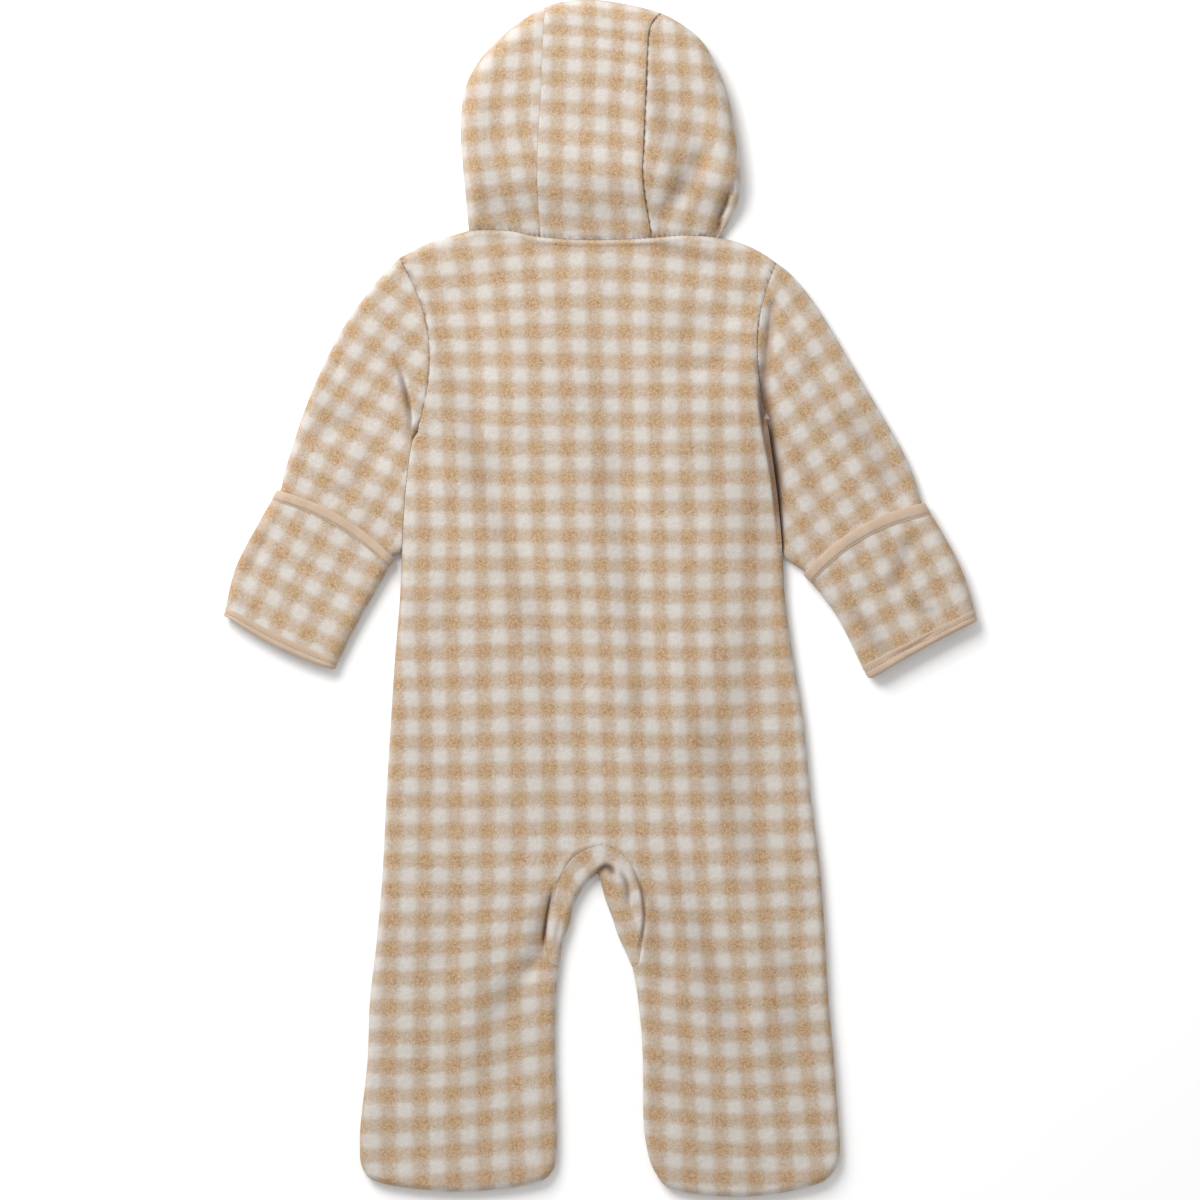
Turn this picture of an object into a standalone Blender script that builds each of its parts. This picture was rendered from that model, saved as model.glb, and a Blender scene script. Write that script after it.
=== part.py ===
# A baby's bunting suit in brushed fleece, lying face down on a flat surface.
# Metres, with +Z up. +Y runs towards the hood and -X is the wearer's left.
# Every cloth piece is a thin wall. Its outer face is worked out from the
# sections below, its inner face lies one wall thickness behind that, and all
# its edges stop half a seam gap short of the line where the pieces meet.

import math
from collections import namedtuple

import bmesh
import bpy
import numpy as np

MM = 0.001


def table(columns, *rows):
    # Rows with named columns, written in millimetres and kept in metres.
    row_type = namedtuple("Row", columns)
    return [row_type(*(value * MM for value in row)) for row in rows]


# Cloth, and how high it lies.
WALL = 3.0 * MM                 # brushed fleece with its nap
SEAM_GAP = 0.3 * MM             # left between two pieces that are sewn together
SUIT_HEIGHT = 9.6 * MM          # front and back lying loosely on each other
HOOD_HEIGHT = 21.0 * MM         # the hood keeps some of its round shape
SUIT_ROLL = 5.0 * MM            # width of the rounded edge of body and legs
SLEEVE_ROLL = 5.5 * MM
HOOD_ROLL = 11.0 * MM
HOOD_RISE_FROM = 236.0 * MM     # Y where the cloth starts to rise into the hood
HOOD_RISE_LENGTH = 48.0 * MM

# Places along the body, as Y.
NECK_BACK = 236.6 * MM
NECK_FRONT = 220.0 * MM
NECK_FRONT_SAG = 5.0 * MM
UNDERARM = 112.0 * MM
CROTCH = -162.4 * MM
GUSSET_END = -240.0 * MM
GUSSET_TIP = -243.0 * MM
FOOT_CORNER = -381.0 * MM

# Where the neck seam ends, seen from above.
NECK_LEFT = (-86.8 * MM, 242.6 * MM)
NECK_RIGHT = (78.2 * MM, 238.0 * MM)

NECK_SEAM_LEFT = table(
    "x y",
    (-86.8, 242.6), (-72.0, 243.2), (-58.0, 242.2), (-40.0, 238.6), (-20.0, 236.9), (0.0, 236.6))
NECK_SEAM_RIGHT = table(
    "x y",
    (78.2, 238.0), (66.0, 239.2), (52.0, 239.4), (34.0, 238.0), (16.0, 236.9), (0.0, 236.6))
SHOULDER_LEFT = table("x y", (-132.3, 224.7), (-120.5, 231.3), (-105.9, 236.9), (-86.8, 242.6))
SHOULDER_RIGHT = table("x y", (115.8, 221.4), (105.3, 228.7), (92.1, 234.6), (78.2, 238.0))

# Side seams from the underarm to the foot, and inside leg seams below the gusset.
SIDES = table(
    "y left right",
    (100.0, -124.9, 112.4),
    (65.0, -129.0, 117.0),
    (30.0, -131.0, 120.0),
    (0.0, -132.3, 121.8),
    (-40.0, -135.6, 127.1),
    (-80.0, -138.3, 133.7),
    (-130.0, -141.2, 138.6),
    (-180.0, -143.7, 144.9),
    (-225.0, -147.5, 148.2),
    (-265.0, -152.1, 150.4),
    (-305.0, -153.7, 154.1),
    (-345.0, -158.1, 156.9),
    (-362.0, -158.7, 158.0),
    (-373.0, -158.0, 156.6))
INSEAMS = table(
    "y left right",
    (-254.0, -28.6, 23.2),
    (-265.0, -29.4, 24.8),
    (-291.4, -30.0, 27.4),
    (-318.0, -29.4, 28.1),
    (-344.0, -28.7, 28.3),
    (-362.0, -28.7, 30.4),
    (-374.0, -30.1, 33.8))
FEET = table(
    "outer_x inner_x inner_y drop",
    (-154.0, -34.0, -381.0, 10.4),
    (151.5, 40.5, -385.5, 11.4))
FOOT_ROUNDNESS = 1.7            # power of the curve along the bottom of a foot

# The crotch gusset, from the left thigh over the crotch to the right thigh:
# where it is sewn to the body, and the edge that it folds over.
GUSSET = table(
    "seam_x seam_y edge_x edge_y",
    (-33.5, -240.0, -27.3, -243.0),
    (-36.4, -228.0, -25.0, -228.0),
    (-34.8, -213.0, -20.6, -215.0),
    (-31.0, -197.5, -17.6, -202.5),
    (-26.3, -182.5, -12.4, -192.0),
    (-16.6, -169.2, -7.2, -185.4),
    (0.0, -162.4, -1.5, -181.6),
    (12.9, -167.3, 0.8, -189.5),
    (22.4, -180.0, 3.2, -198.5),
    (28.2, -200.0, 7.4, -209.5),
    (28.6, -214.0, 11.3, -221.5),
    (27.0, -228.0, 15.6, -231.0),
    (25.3, -240.0, 21.0, -243.0))
GUSSET_CROTCH = 6               # its row at the top of the crotch

ARMHOLE_LEFT = table(
    "x y",
    (-132.3, 224.7), (-122.6, 205.0), (-116.0, 187.0), (-113.0, 167.0),
    (-113.3, 147.0), (-116.4, 128.0), (-121.1, 109.9))
ARMHOLE_RIGHT = table(
    "x y",
    (115.8, 221.4), (109.6, 205.0), (105.0, 186.0), (103.4, 167.0),
    (104.4, 149.0), (106.6, 134.0), (109.6, 118.5))

# Sleeves, from the shoulder to the hem: the two ends of each section, how far
# it bows towards the shoulder, and its height. The inner ends of the first
# rows run down the armhole and then beside the body.
SLEEVE_LEFT = table(
    "outer_x outer_y inner_x inner_y bow height",
    (-132.3, 224.7, -132.3, 224.7, 0.0, 9.6),
    (-142.0, 215.3, -125.6, 211.0, 0.5, 9.6),
    (-154.0, 201.0, -116.8, 190.0, 1.5, 9.6),
    (-166.7, 183.5, -113.0, 165.0, 2.5, 9.6),
    (-178.0, 163.5, -114.0, 140.0, 3.5, 9.6),
    (-188.5, 141.0, -121.1, 109.9, 4.5, 9.5),
    (-197.5, 117.5, -127.2, 86.0, 5.0, 9.3),
    (-204.8, 95.0, -129.9, 57.0, 5.4, 9.1),
    (-209.0, 81.0, -131.0, 33.0, 5.8, 8.9),
    (-211.5, 70.8, -137.0, 27.4, 6.3, 8.7),
    (-221.8, 52.8, -146.8, 10.5, 5.2, 8.5),
    (-238.7, 20.5, -160.6, -13.5, 1.6, 8.4),
    (-245.4, -7.0, -174.6, -41.0, -2.0, 8.4),
    (-246.2, -12.4, -177.3, -46.8, -3.2, 8.4))
SLEEVE_RIGHT = table(
    "outer_x outer_y inner_x inner_y bow height",
    (115.8, 221.4, 115.8, 221.4, 0.0, 9.6),
    (124.5, 214.8, 111.0, 209.0, 0.5, 9.6),
    (136.5, 201.0, 105.6, 189.0, 2.0, 9.6),
    (149.0, 182.5, 103.4, 166.0, 3.5, 9.6),
    (162.0, 160.5, 105.0, 144.0, 5.0, 9.6),
    (174.5, 139.5, 109.6, 118.5, 6.5, 9.5),
    (187.0, 118.5, 113.4, 94.0, 7.5, 9.3),
    (199.5, 96.5, 116.9, 62.0, 8.0, 9.1),
    (207.2, 78.5, 119.5, 31.0, 8.2, 8.9),
    (212.0, 62.5, 134.8, 17.4, 8.0, 8.7),
    (223.6, 43.3, 146.8, 3.6, 7.0, 8.5),
    (236.6, 18.3, 159.2, -14.0, 3.5, 8.4),
    (245.1, -9.2, 174.6, -45.0, 0.3, 8.4),
    (246.4, -16.0, 179.8, -52.6, 1.0, 8.4))
SLEEVE_UNDERARM = 5             # row where the armhole ends at the side seam
SLEEVE_FREE = 8                 # last row whose inner end touches the body
FLAP_TOP = 9.0                  # the row where the turned-back mitten flap ends
FLAP_SEAM = 9.4                 # where the flap's cloth meets its binding
CUFF_SEAM = 12.0                # where sleeve and flap meet the cuff binding
BINDING_PROUD = 0.3 * MM        # bindings stand this far above the cloth

# The hood's outline from the neck's left corner over the crown to its right.
HOOD_OUTLINE = table(
    "x y",
    (-86.8, 242.6), (-88.6, 262.0), (-91.2, 290.0), (-92.2, 313.0), (-89.6, 335.0),
    (-82.8, 350.5), (-72.0, 363.8), (-56.5, 377.5), (-36.6, 390.0), (-12.0, 395.0),
    (14.0, 392.3), (39.3, 386.0), (56.0, 376.8), (67.5, 366.5), (76.5, 351.5),
    (84.0, 331.0), (89.2, 304.0), (92.3, 278.0), (90.6, 261.5), (85.2, 249.5), (78.2, 238.0))
CROWN_LEFT = 8                  # rows of the outline where the hood's seams cross it
CROWN_RIGHT = 11
HOOD_SEAM_LEFT = table(
    "x y",
    (-36.6, 390.0), (-38.4, 362.0), (-39.4, 335.0), (-41.2, 305.0), (-41.8, 276.0), (-40.0, 238.6))
HOOD_SEAM_RIGHT = table(
    "x y",
    (39.3, 386.0), (32.9, 376.0), (31.2, 360.0), (30.2, 335.0),
    (28.8, 302.0), (28.2, 274.0), (34.0, 238.0))
FACE_WIDTH = 108.0 * MM         # the face opening, on the underside
FACE_TOP = 350.0 * MM
FOREHEAD_SHARE = 0.12           # share of the face edge, on each side of its top, in the centre panel

# The largest soft folds of the upper side: a dip where depth is above zero
# and a ridge where it is below, along a straight line.
FOLDS = table(
    "x1 y1 x2 y2 width depth",
    (-96.0, 197.0, -70.0, 78.0, 14.0, 1.5),
    (-70.0, 78.0, -27.0, -60.0, 14.0, 1.7),
    (10.0, 210.0, 13.0, 78.0, 13.0, 1.2),
    (13.0, 78.0, 33.0, -67.0, 14.0, 1.5),
    (60.0, -186.0, 92.0, -271.0, 10.0, 1.6),
    (-100.0, -200.0, -112.0, -320.0, 12.0, 1.4),
    (60.0, 172.0, 100.0, 197.0, 10.0, 1.3),
    (-33.0, -203.0, -46.0, -243.0, 6.0, 2.0),
    (-46.0, -243.0, -68.0, -275.0, 9.0, 1.3),
    (84.0, 266.0, 77.0, 240.0, 4.5, 3.0),
    (43.0, 253.0, 66.0, 290.0, 7.0, 1.8),
    (66.0, 290.0, 58.0, 328.0, 7.0, 1.3),
    (-139.0, 171.0, -124.0, 113.0, 5.0, -1.4),
    (-175.0, 120.0, -145.0, 95.0, 9.0, 1.3),
    (140.0, 150.0, 165.0, 95.0, 9.0, 1.5),
    (112.5, 192.0, 107.5, 150.0, 4.0, 2.4),
    (107.5, 150.0, 112.5, 108.0, 4.0, 2.4))

# The zip down the centre front, on the underside: its tapes lie on the inner
# side of the fronts, its chain and slider in the channel between them.
ZIP_CHANNEL = 8.0 * MM          # between the edges of the two fronts
ZIP_TOP = 213.0 * MM
ZIP_BOTTOM = -120.0 * MM
ZIP_END = 3.0 * MM              # below its bottom the two fronts meet
ZIP_CLEAR = 1.0 * MM            # between the tapes and that end
TAPE_WIDTH = 12.0 * MM
TAPE_THICKNESS = 0.8 * MM
TAPE_APART = 1.2 * MM
CHAIN_WIDTH = 5.6 * MM
CHAIN_THICKNESS = 1.3 * MM
CHAIN_BEVEL = 0.3 * MM
SLIDER_LENGTH = 9.0 * MM
SLIDER_WIDTH = 7.0 * MM
SLIDER_THICKNESS = 1.5 * MM
SLIDER_TOP = 214.0 * MM
SLIDER_BEVEL = 0.4 * MM
LUG_WIDTH = 0.8 * MM            # two lugs under the slider hold the pull tab
LUG_APART = 3.0 * MM
LUG_LENGTH = 1.6 * MM
LUG_BELOW_AXIS = 0.5 * MM
PULL_AXIS_Y = 206.5 * MM
PULL_AXIS_Z = 0.75 * MM
PULL_THICKNESS = 0.8 * MM
PULL = table(                   # the tab, from its hinge to its tip
    "from_axis width",
    (0.0, 2.4),
    (2.0, 2.4),
    (3.4, 4.6),
    (4.4, 5.0),
    (16.2, 5.0),
    (17.4, 4.2),
    (18.0, 2.6))
PULL_END_ANGLES = (20, 45, 70)  # its rounded hinge end, in degrees

# How finely the walls are cut: distances across a rolled edge as shares of
# its width, steps between there, and shares along other edges.
ROLL_SHARES = (0.0, 0.13, 0.5, 1.1)
ARMHOLE_STEP = 10.5 * MM
BACK_STEP = 18.0 * MM
FRONT_STEP = 22.0 * MM
SIDE_COLUMNS = 4
SLEEVE_COLUMNS = 4
FLAP_PLACES = np.linspace(FLAP_SEAM, CUFF_SEAM, 4)
SLEEVE_PLACES = [
    0.0, 0.35, 0.65, 1.0, 1.5, 2.0, 2.5, 3.0, 3.5, 4.0,
    4.5, 4.85, 5.0, 5.5, 6.0, 7.0, 7.6, 8.0, 8.5, 9.0]
ARCH_ROWS = 12
HOOD_TOP_COLUMNS = 3
HOOD_UNDER_COLUMNS = 4
TIP_SHARES = (1.0, 0.7, 0.4, 0.12, 0.0)     # across the gusset's ends
SHOULDER_SHARES = (0.0, 0.12, 0.5, 1.0)
NECK_SHARES = (0.0, 0.008, 0.03, 0.066, 0.28, 0.52, 0.76, 1.0)
CORRECTION_LENGTH = 70.0 * MM   # how far the shape of a panel's end reaches into it
CURVE_PIECES = 16               # straight pieces of a curve between two rows of its table
ON_EDGE = 0.05 * MM             # a point this close to an outline lies on it

Finish = namedtuple("Finish", "colour roughness metallic")
FLEECE = Finish((0.62, 0.48, 0.34, 1.0), 0.95, 0.0)
BINDING = Finish((0.45, 0.31, 0.20, 1.0), 0.85, 0.0)
TAPE = Finish((0.50, 0.36, 0.24, 1.0), 0.8, 0.0)
ZIP_PLASTIC = Finish((0.47, 0.34, 0.23, 1.0), 0.4, 0.0)
ZIP_METAL = Finish((0.42, 0.40, 0.37, 1.0), 0.35, 0.9)


# Curves seen from above

def points_of(rows):
    return np.array([(row.x, row.y) for row in rows])


def between(rows, place):
    # A smooth value (Catmull-Rom) of every column at a fractional row number.
    values = np.array(rows, dtype=float)
    first = min(int(place), len(values) - 2)
    share = place - first
    p1, p2 = values[first], values[first + 1]
    p0 = values[first - 1] if first > 0 else 2 * p1 - p2
    p3 = values[first + 2] if first + 2 < len(values) else 2 * p2 - p1
    return 0.5 * (2 * p1 + (p2 - p0) * share + (2 * p0 - 5 * p1 + 4 * p2 - p3) * share ** 2
                  + (3 * p1 - p0 - 3 * p2 + p3) * share ** 3)


def smooth(points, pieces=CURVE_PIECES):
    # Points along a smooth curve through the given ones.
    places = np.linspace(0, len(points) - 1, (len(points) - 1) * pieces + 1)
    return np.array([between(points, place) for place in places])


def along(curve, shares):
    # Points at the given shares of a curve's length.
    steps = np.linalg.norm(np.diff(curve, axis=0), axis=1)
    run = np.concatenate([[0.0], np.cumsum(steps)]) / steps.sum()
    return np.column_stack([np.interp(shares, run, curve[:, axis]) for axis in (0, 1)])


def at_y(curve, y):
    # The point where a curve that runs steadily downwards reaches y.
    return np.array([np.interp(-y, -curve[:, 1], curve[:, 0]), y])


def joined(*curves):
    # Curves that follow on each other, as one.
    chain = np.vstack(curves)
    apart = np.linalg.norm(np.diff(chain, axis=0), axis=1) > 0.01 * MM
    return chain[np.concatenate([[True], apart])]


def spread(length, near, far, count):
    # Shares of a length: close together across a rolled edge at each end.
    start = [near * share for share in ROLL_SHARES]
    end = [length - far * share for share in reversed(ROLL_SHARES)]
    middle = np.linspace(start[-1], end[0], count + 1)[1:-1]
    return np.concatenate([start, middle, end]) / length


def evenly(start, end, step):
    # Places from start to end, both left out, about one step apart.
    count = max(1, round(abs(end - start) / step))
    return list(np.linspace(start, end, count + 1)[1:-1])


def ease(value):
    value = np.clip(value, 0.0, 1.0)
    return value * value * (3 - 2 * value)


# The outline of each group of pieces, with the cloth on its right

class Outline:
    def __init__(self, *curves):
        self.starts = np.concatenate([curve[:-1] for curve in curves])
        self.ends = np.concatenate([curve[1:] for curve in curves])
        self.start_normals = np.concatenate([self.normals(curve)[:-1] for curve in curves])
        self.end_normals = np.concatenate([self.normals(curve)[1:] for curve in curves])

    @staticmethod
    def normals(curve):
        steps = np.diff(curve, axis=0)
        steps /= np.linalg.norm(steps, axis=1)[:, None]
        mean = np.vstack([steps[:1], steps[:-1] + steps[1:], steps[-1:]])
        mean /= np.linalg.norm(mean, axis=1)[:, None]
        return np.column_stack([-mean[:, 1], mean[:, 0]])

    def nearest(self, points):
        # Distance to the outline, and the direction outwards.
        step = self.ends - self.starts
        offset = points[:, None, :] - self.starts[None]
        share = np.clip((offset * step).sum(2) / (step * step).sum(1), 0.0, 1.0)
        gap = offset - share[..., None] * step
        length = np.linalg.norm(gap, axis=2)
        best = length.argmin(axis=1)
        row = np.arange(len(points))
        distance = length[row, best]
        weight = share[row, best][:, None]
        normal = self.start_normals[best] * (1 - weight) + self.end_normals[best] * weight
        normal /= np.linalg.norm(normal, axis=1)[:, None]
        away = -gap[row, best] / np.maximum(distance, 1e-9)[:, None]
        mix = ease(distance / (0.4 * MM))[:, None]
        outward = normal * (1 - mix) + away * mix
        outward /= np.maximum(np.linalg.norm(outward, axis=1), 1e-9)[:, None]
        return distance, outward


armhole_left = smooth(points_of(ARMHOLE_LEFT))
armhole_right = smooth(points_of(ARMHOLE_RIGHT))
side_left = smooth([tuple(armhole_left[-1])]
                   + [(row.left, row.y) for row in SIDES] + [(FEET[0].outer_x, FOOT_CORNER)])
side_right = smooth([tuple(armhole_right[-1])]
                    + [(row.right, row.y) for row in SIDES] + [(FEET[1].outer_x, FOOT_CORNER)])
inseam_left = smooth([(GUSSET[0].edge_x, GUSSET_TIP)]
                     + [(row.left, row.y) for row in INSEAMS] + [(FEET[0].inner_x, FEET[0].inner_y)])
inseam_right = smooth([(GUSSET[-1].edge_x, GUSSET_TIP)]
                      + [(row.right, row.y) for row in INSEAMS] + [(FEET[1].inner_x, FEET[1].inner_y)])
neck_back = {
    +1: along(smooth(points_of(NECK_SEAM_LEFT)), NECK_SHARES),
    -1: along(smooth(points_of(NECK_SEAM_RIGHT)), NECK_SHARES)}
shoulder_left = smooth(points_of(SHOULDER_LEFT))
shoulder_right = smooth(points_of(SHOULDER_RIGHT))
gusset_places = np.linspace(0, len(GUSSET) - 1, CURVE_PIECES * (len(GUSSET) - 1) + 1)
gusset_curves = np.array([between(GUSSET, place) for place in gusset_places])
gusset_seam = gusset_curves[:, 0:2]
gusset_edge = gusset_curves[:, 2:4]
hood_outline = smooth(points_of(HOOD_OUTLINE))


def foot_bottom(foot, shares):
    # From the outer corner of a foot to its inner corner.
    across = 2 * np.asarray(shares) - 1
    drop = foot.drop * (1 - np.abs(across) ** FOOT_ROUNDNESS) ** (1 / FOOT_ROUNDNESS)
    x = foot.outer_x + (foot.inner_x - foot.outer_x) * np.asarray(shares)
    y = FOOT_CORNER + (foot.inner_y - FOOT_CORNER) * np.asarray(shares) - drop
    return np.column_stack([x, y])


def bowed(start, end, bow, shares, turn):
    # A line across a sleeve that bows towards the body.
    start = np.array(start)
    chord = np.array(end) - start
    side = turn * np.array([-chord[1], chord[0]]) / max(np.linalg.norm(chord), 0.01 * MM)
    shares = np.asarray(shares)[:, None]
    return start + chord * shares + side * bow * 4 * shares * (1 - shares)


def sleeve_line(rows, place, shares, turn):
    # One section of a sleeve, and its height.
    outer_x, outer_y, inner_x, inner_y, bow, height = between(rows, place)
    beside = body_side[turn]
    underarm = rows[SLEEVE_UNDERARM].inner_y
    clear = SEAM_GAP * ease((underarm - inner_y) / (3 * MM))
    limit = at_y(beside, inner_y)[0] - turn * clear
    if place <= SLEEVE_FREE:
        inner_x = limit
    else:
        inner_x = min(inner_x, limit) if turn > 0 else max(inner_x, limit)
    if place == 0:
        inner_x = outer_x
    return bowed((outer_x, outer_y), (inner_x, inner_y), bow, shares, turn), height


def sleeve_edge(rows, share, turn):
    places = np.linspace(0, len(rows) - 1, CURVE_PIECES * (len(rows) - 1) + 1)
    return np.array([sleeve_line(rows, place, [share], turn)[0][0] for place in places])


body_side = {
    +1: np.vstack([armhole_left, side_left[1:]]),
    -1: np.vstack([armhole_right, side_right[1:]])}
fine_shares = np.linspace(0, 1, 33)
foot_left = foot_bottom(FEET[0], fine_shares)
foot_right = foot_bottom(FEET[1], fine_shares)
sleeve_outside = {
    +1: sleeve_edge(SLEEVE_LEFT, 0, +1)[::-1],
    -1: sleeve_edge(SLEEVE_RIGHT, 0, -1)}
sleeve_inside = {
    +1: sleeve_edge(SLEEVE_LEFT, 1, +1)[SLEEVE_UNDERARM * CURVE_PIECES:],
    -1: sleeve_edge(SLEEVE_RIGHT, 1, -1)[SLEEVE_UNDERARM * CURVE_PIECES:][::-1]}
suit_outline = Outline(
    joined(sleeve_outside[+1], shoulder_left, hood_outline, shoulder_right[::-1], sleeve_outside[-1]),
    joined(side_right, foot_right, inseam_right[::-1], gusset_edge[::-1], inseam_left,
           foot_left[::-1], side_left[::-1]))
sleeve_outlines = {
    +1: Outline(joined(sleeve_outside[+1], shoulder_left), sleeve_inside[+1]),
    -1: Outline(joined(shoulder_right[::-1], sleeve_outside[-1]), sleeve_inside[-1])}


# Heights

def fold_depth(points):
    depth = np.zeros(len(points))
    for fold in FOLDS:
        start = np.array([fold.x1, fold.y1])
        line = np.array([fold.x2, fold.y2]) - start
        share = np.clip((points - start) @ line / (line @ line), 0.0, 1.0)
        away = np.linalg.norm(points - start - share[:, None] * line, axis=1)
        depth += fold.depth * np.exp(-(away / fold.width) ** 2)
    return depth


Sheet = namedtuple("Sheet", "outer normal")


def lay(points, outline, top, height, roll):
    # The outer face of a sheet of cloth: rounded down, or up, to half height at its outline.
    points = np.asarray(points)
    distance, outward = outline.nearest(points)
    distance = np.where(distance < ON_EDGE, 0.0, distance)
    turn = np.arccos(1 - np.clip(distance / roll, 0.0, 1.0))
    middle = height / 2
    rise = np.sin(turn)
    if top:
        z = middle + (height - middle - fold_depth(points)) * rise
    else:
        z = middle * (1 - rise)
    side = 1.0 if top else -1.0
    normal = np.column_stack([outward * np.cos(turn)[:, None], side * rise])
    return Sheet(np.column_stack([points, z]), normal)


def suit_sheet(points, top):
    # Body and hood share one rule, so they meet at the neck.
    points = np.asarray(points)
    rise = ease((points[:, 1] - HOOD_RISE_FROM) / HOOD_RISE_LENGTH)
    height = SUIT_HEIGHT + (HOOD_HEIGHT - SUIT_HEIGHT) * rise
    roll = SUIT_ROLL + (HOOD_ROLL - SUIT_ROLL) * rise
    return lay(points, suit_outline, top, height, roll)


# Building walls

def finish_object(name, mesh, finish):
    mesh.shade_smooth()
    mesh.set_sharp_from_angle(angle=math.radians(50))
    material = bpy.data.materials.new(name)
    material.use_nodes = True
    shader = material.node_tree.nodes["Principled BSDF"]
    shader.inputs["Base Color"].default_value = finish.colour
    shader.inputs["Roughness"].default_value = finish.roughness
    shader.inputs["Metallic"].default_value = finish.metallic
    mesh.materials.append(material)
    solid = bpy.data.objects.new(name, mesh)
    bpy.context.collection.objects.link(solid)
    return solid


def edge_inset(outer, normal, faces):
    # How far each edge point moves into its piece to leave half a seam gap.
    edges = {}
    for face in faces:
        for start, end in zip(face, face[1:] + face[:1]):
            edges[(start, end)] = True
    border = [pair for pair in edges if (pair[1], pair[0]) not in edges]
    inward = {}
    for start, end in border:
        step = outer[end] - outer[start]
        for point in (start, end):
            side = np.cross(normal[point], step)
            inward.setdefault(point, []).append(side / np.linalg.norm(side))
    shift = np.zeros_like(outer)
    for point, sides in inward.items():
        mean = sum(sides) / np.linalg.norm(sum(sides))
        shift[point] = mean * (SEAM_GAP / 2) / max(0.5, mean @ sides[0])
    return shift, border


def wall(name, patches, finish, lift=0.0, thickness=WALL):
    # Joins patches (rows of sheet points) into one sheet and gives it a wall.
    numbers = {}
    outer, normal, faces = [], [], []

    def number(point, direction):
        key = tuple(np.round(point / (0.01 * MM)).astype(int))
        if key not in numbers:
            numbers[key] = len(outer)
            outer.append(point)
            normal.append(direction / np.linalg.norm(direction))
        return numbers[key]

    for patch in patches:
        grid = [[number(p, n) for p, n in zip(row.outer, row.normal)] for row in patch]
        for upper, lower in zip(grid, grid[1:]):
            for column in range(len(upper) - 1):
                corners = [upper[column], lower[column], lower[column + 1], upper[column + 1]]
                face = [p for p, q in zip(corners, corners[1:] + corners[:1]) if p != q]
                if len(face) > 2:
                    faces.append(face)
    outer, normal = np.array(outer), np.array(normal)
    facing = 0.0
    for face in faces:
        first, second, third = outer[face[:3]]
        facing += np.cross(second - first, third - first) @ normal[face[0]]
    if facing < 0:
        faces = [face[::-1] for face in faces]
    shift, border = edge_inset(outer, normal, faces)
    lifts = np.broadcast_to(np.asarray(lift, dtype=float), (len(outer),))
    face_out = outer + shift + normal * (lifts + thickness * (lifts > 0))[:, None]
    face_in = outer + shift + normal * (lifts - thickness * (lifts <= 0))[:, None]
    count = len(outer)
    inner_faces = [[p + count for p in reversed(face)] for face in faces]
    rims = []
    for start, end in border:
        # Neighbours split this twisted strip the same way, from its outermost point.
        if abs(outer[start][0]) > abs(outer[end][0]):
            rims += [[end, start, end + count], [start, start + count, end + count]]
        else:
            rims += [[end, start, start + count], [end, start + count, end + count]]
    mesh = bpy.data.meshes.new(name)
    mesh.from_pydata(np.vstack([face_out, face_in]).tolist(), [], faces + inner_faces + rims)
    return finish_object(name, mesh, finish)


# Body panels

def panel_levels(step, top):
    # Y of the rows of a body panel, measured on its inner side.
    rolled = [share * SUIT_ROLL for share in ROLL_SHARES]
    start = [top - distance for distance in rolled]
    chest = evenly(start[-1], UNDERARM + 5 * MM, ARMHOLE_STEP)
    underarm = [UNDERARM + 5 * MM, UNDERARM + 1.5 * MM, UNDERARM]
    waist = evenly(UNDERARM, CROTCH, step)
    arch = [CROTCH + (GUSSET_END - CROTCH) * (row / ARCH_ROWS) ** 1.8 for row in range(ARCH_ROWS + 1)]
    tip = [GUSSET_TIP + (GUSSET_END - GUSSET_TIP) * share for share in TIP_SHARES[1:]]
    end = [FOOT_CORNER + distance for distance in reversed(rolled)]
    leg = evenly(GUSSET_TIP, end[0], step)
    return start + chest + underarm + waist + arch + tip + leg + end


def inner_curve(turn, zip_gap):
    # The inner side of half a panel: centre, gusset seam and inside leg.
    if turn > 0:
        seam = gusset_seam[:GUSSET_CROTCH * CURVE_PIECES + 1][::-1]
        leg = inseam_left
    else:
        seam = gusset_seam[GUSSET_CROTCH * CURVE_PIECES:]
        leg = inseam_right
    centre_x = -turn * zip_gap / 2
    top = NECK_FRONT if zip_gap else NECK_BACK
    line = [(centre_x, top)]
    if zip_gap:
        line += [(centre_x, ZIP_BOTTOM), (0.0, ZIP_BOTTOM - ZIP_END)]
    return np.vstack([line, seam, leg])


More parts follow.
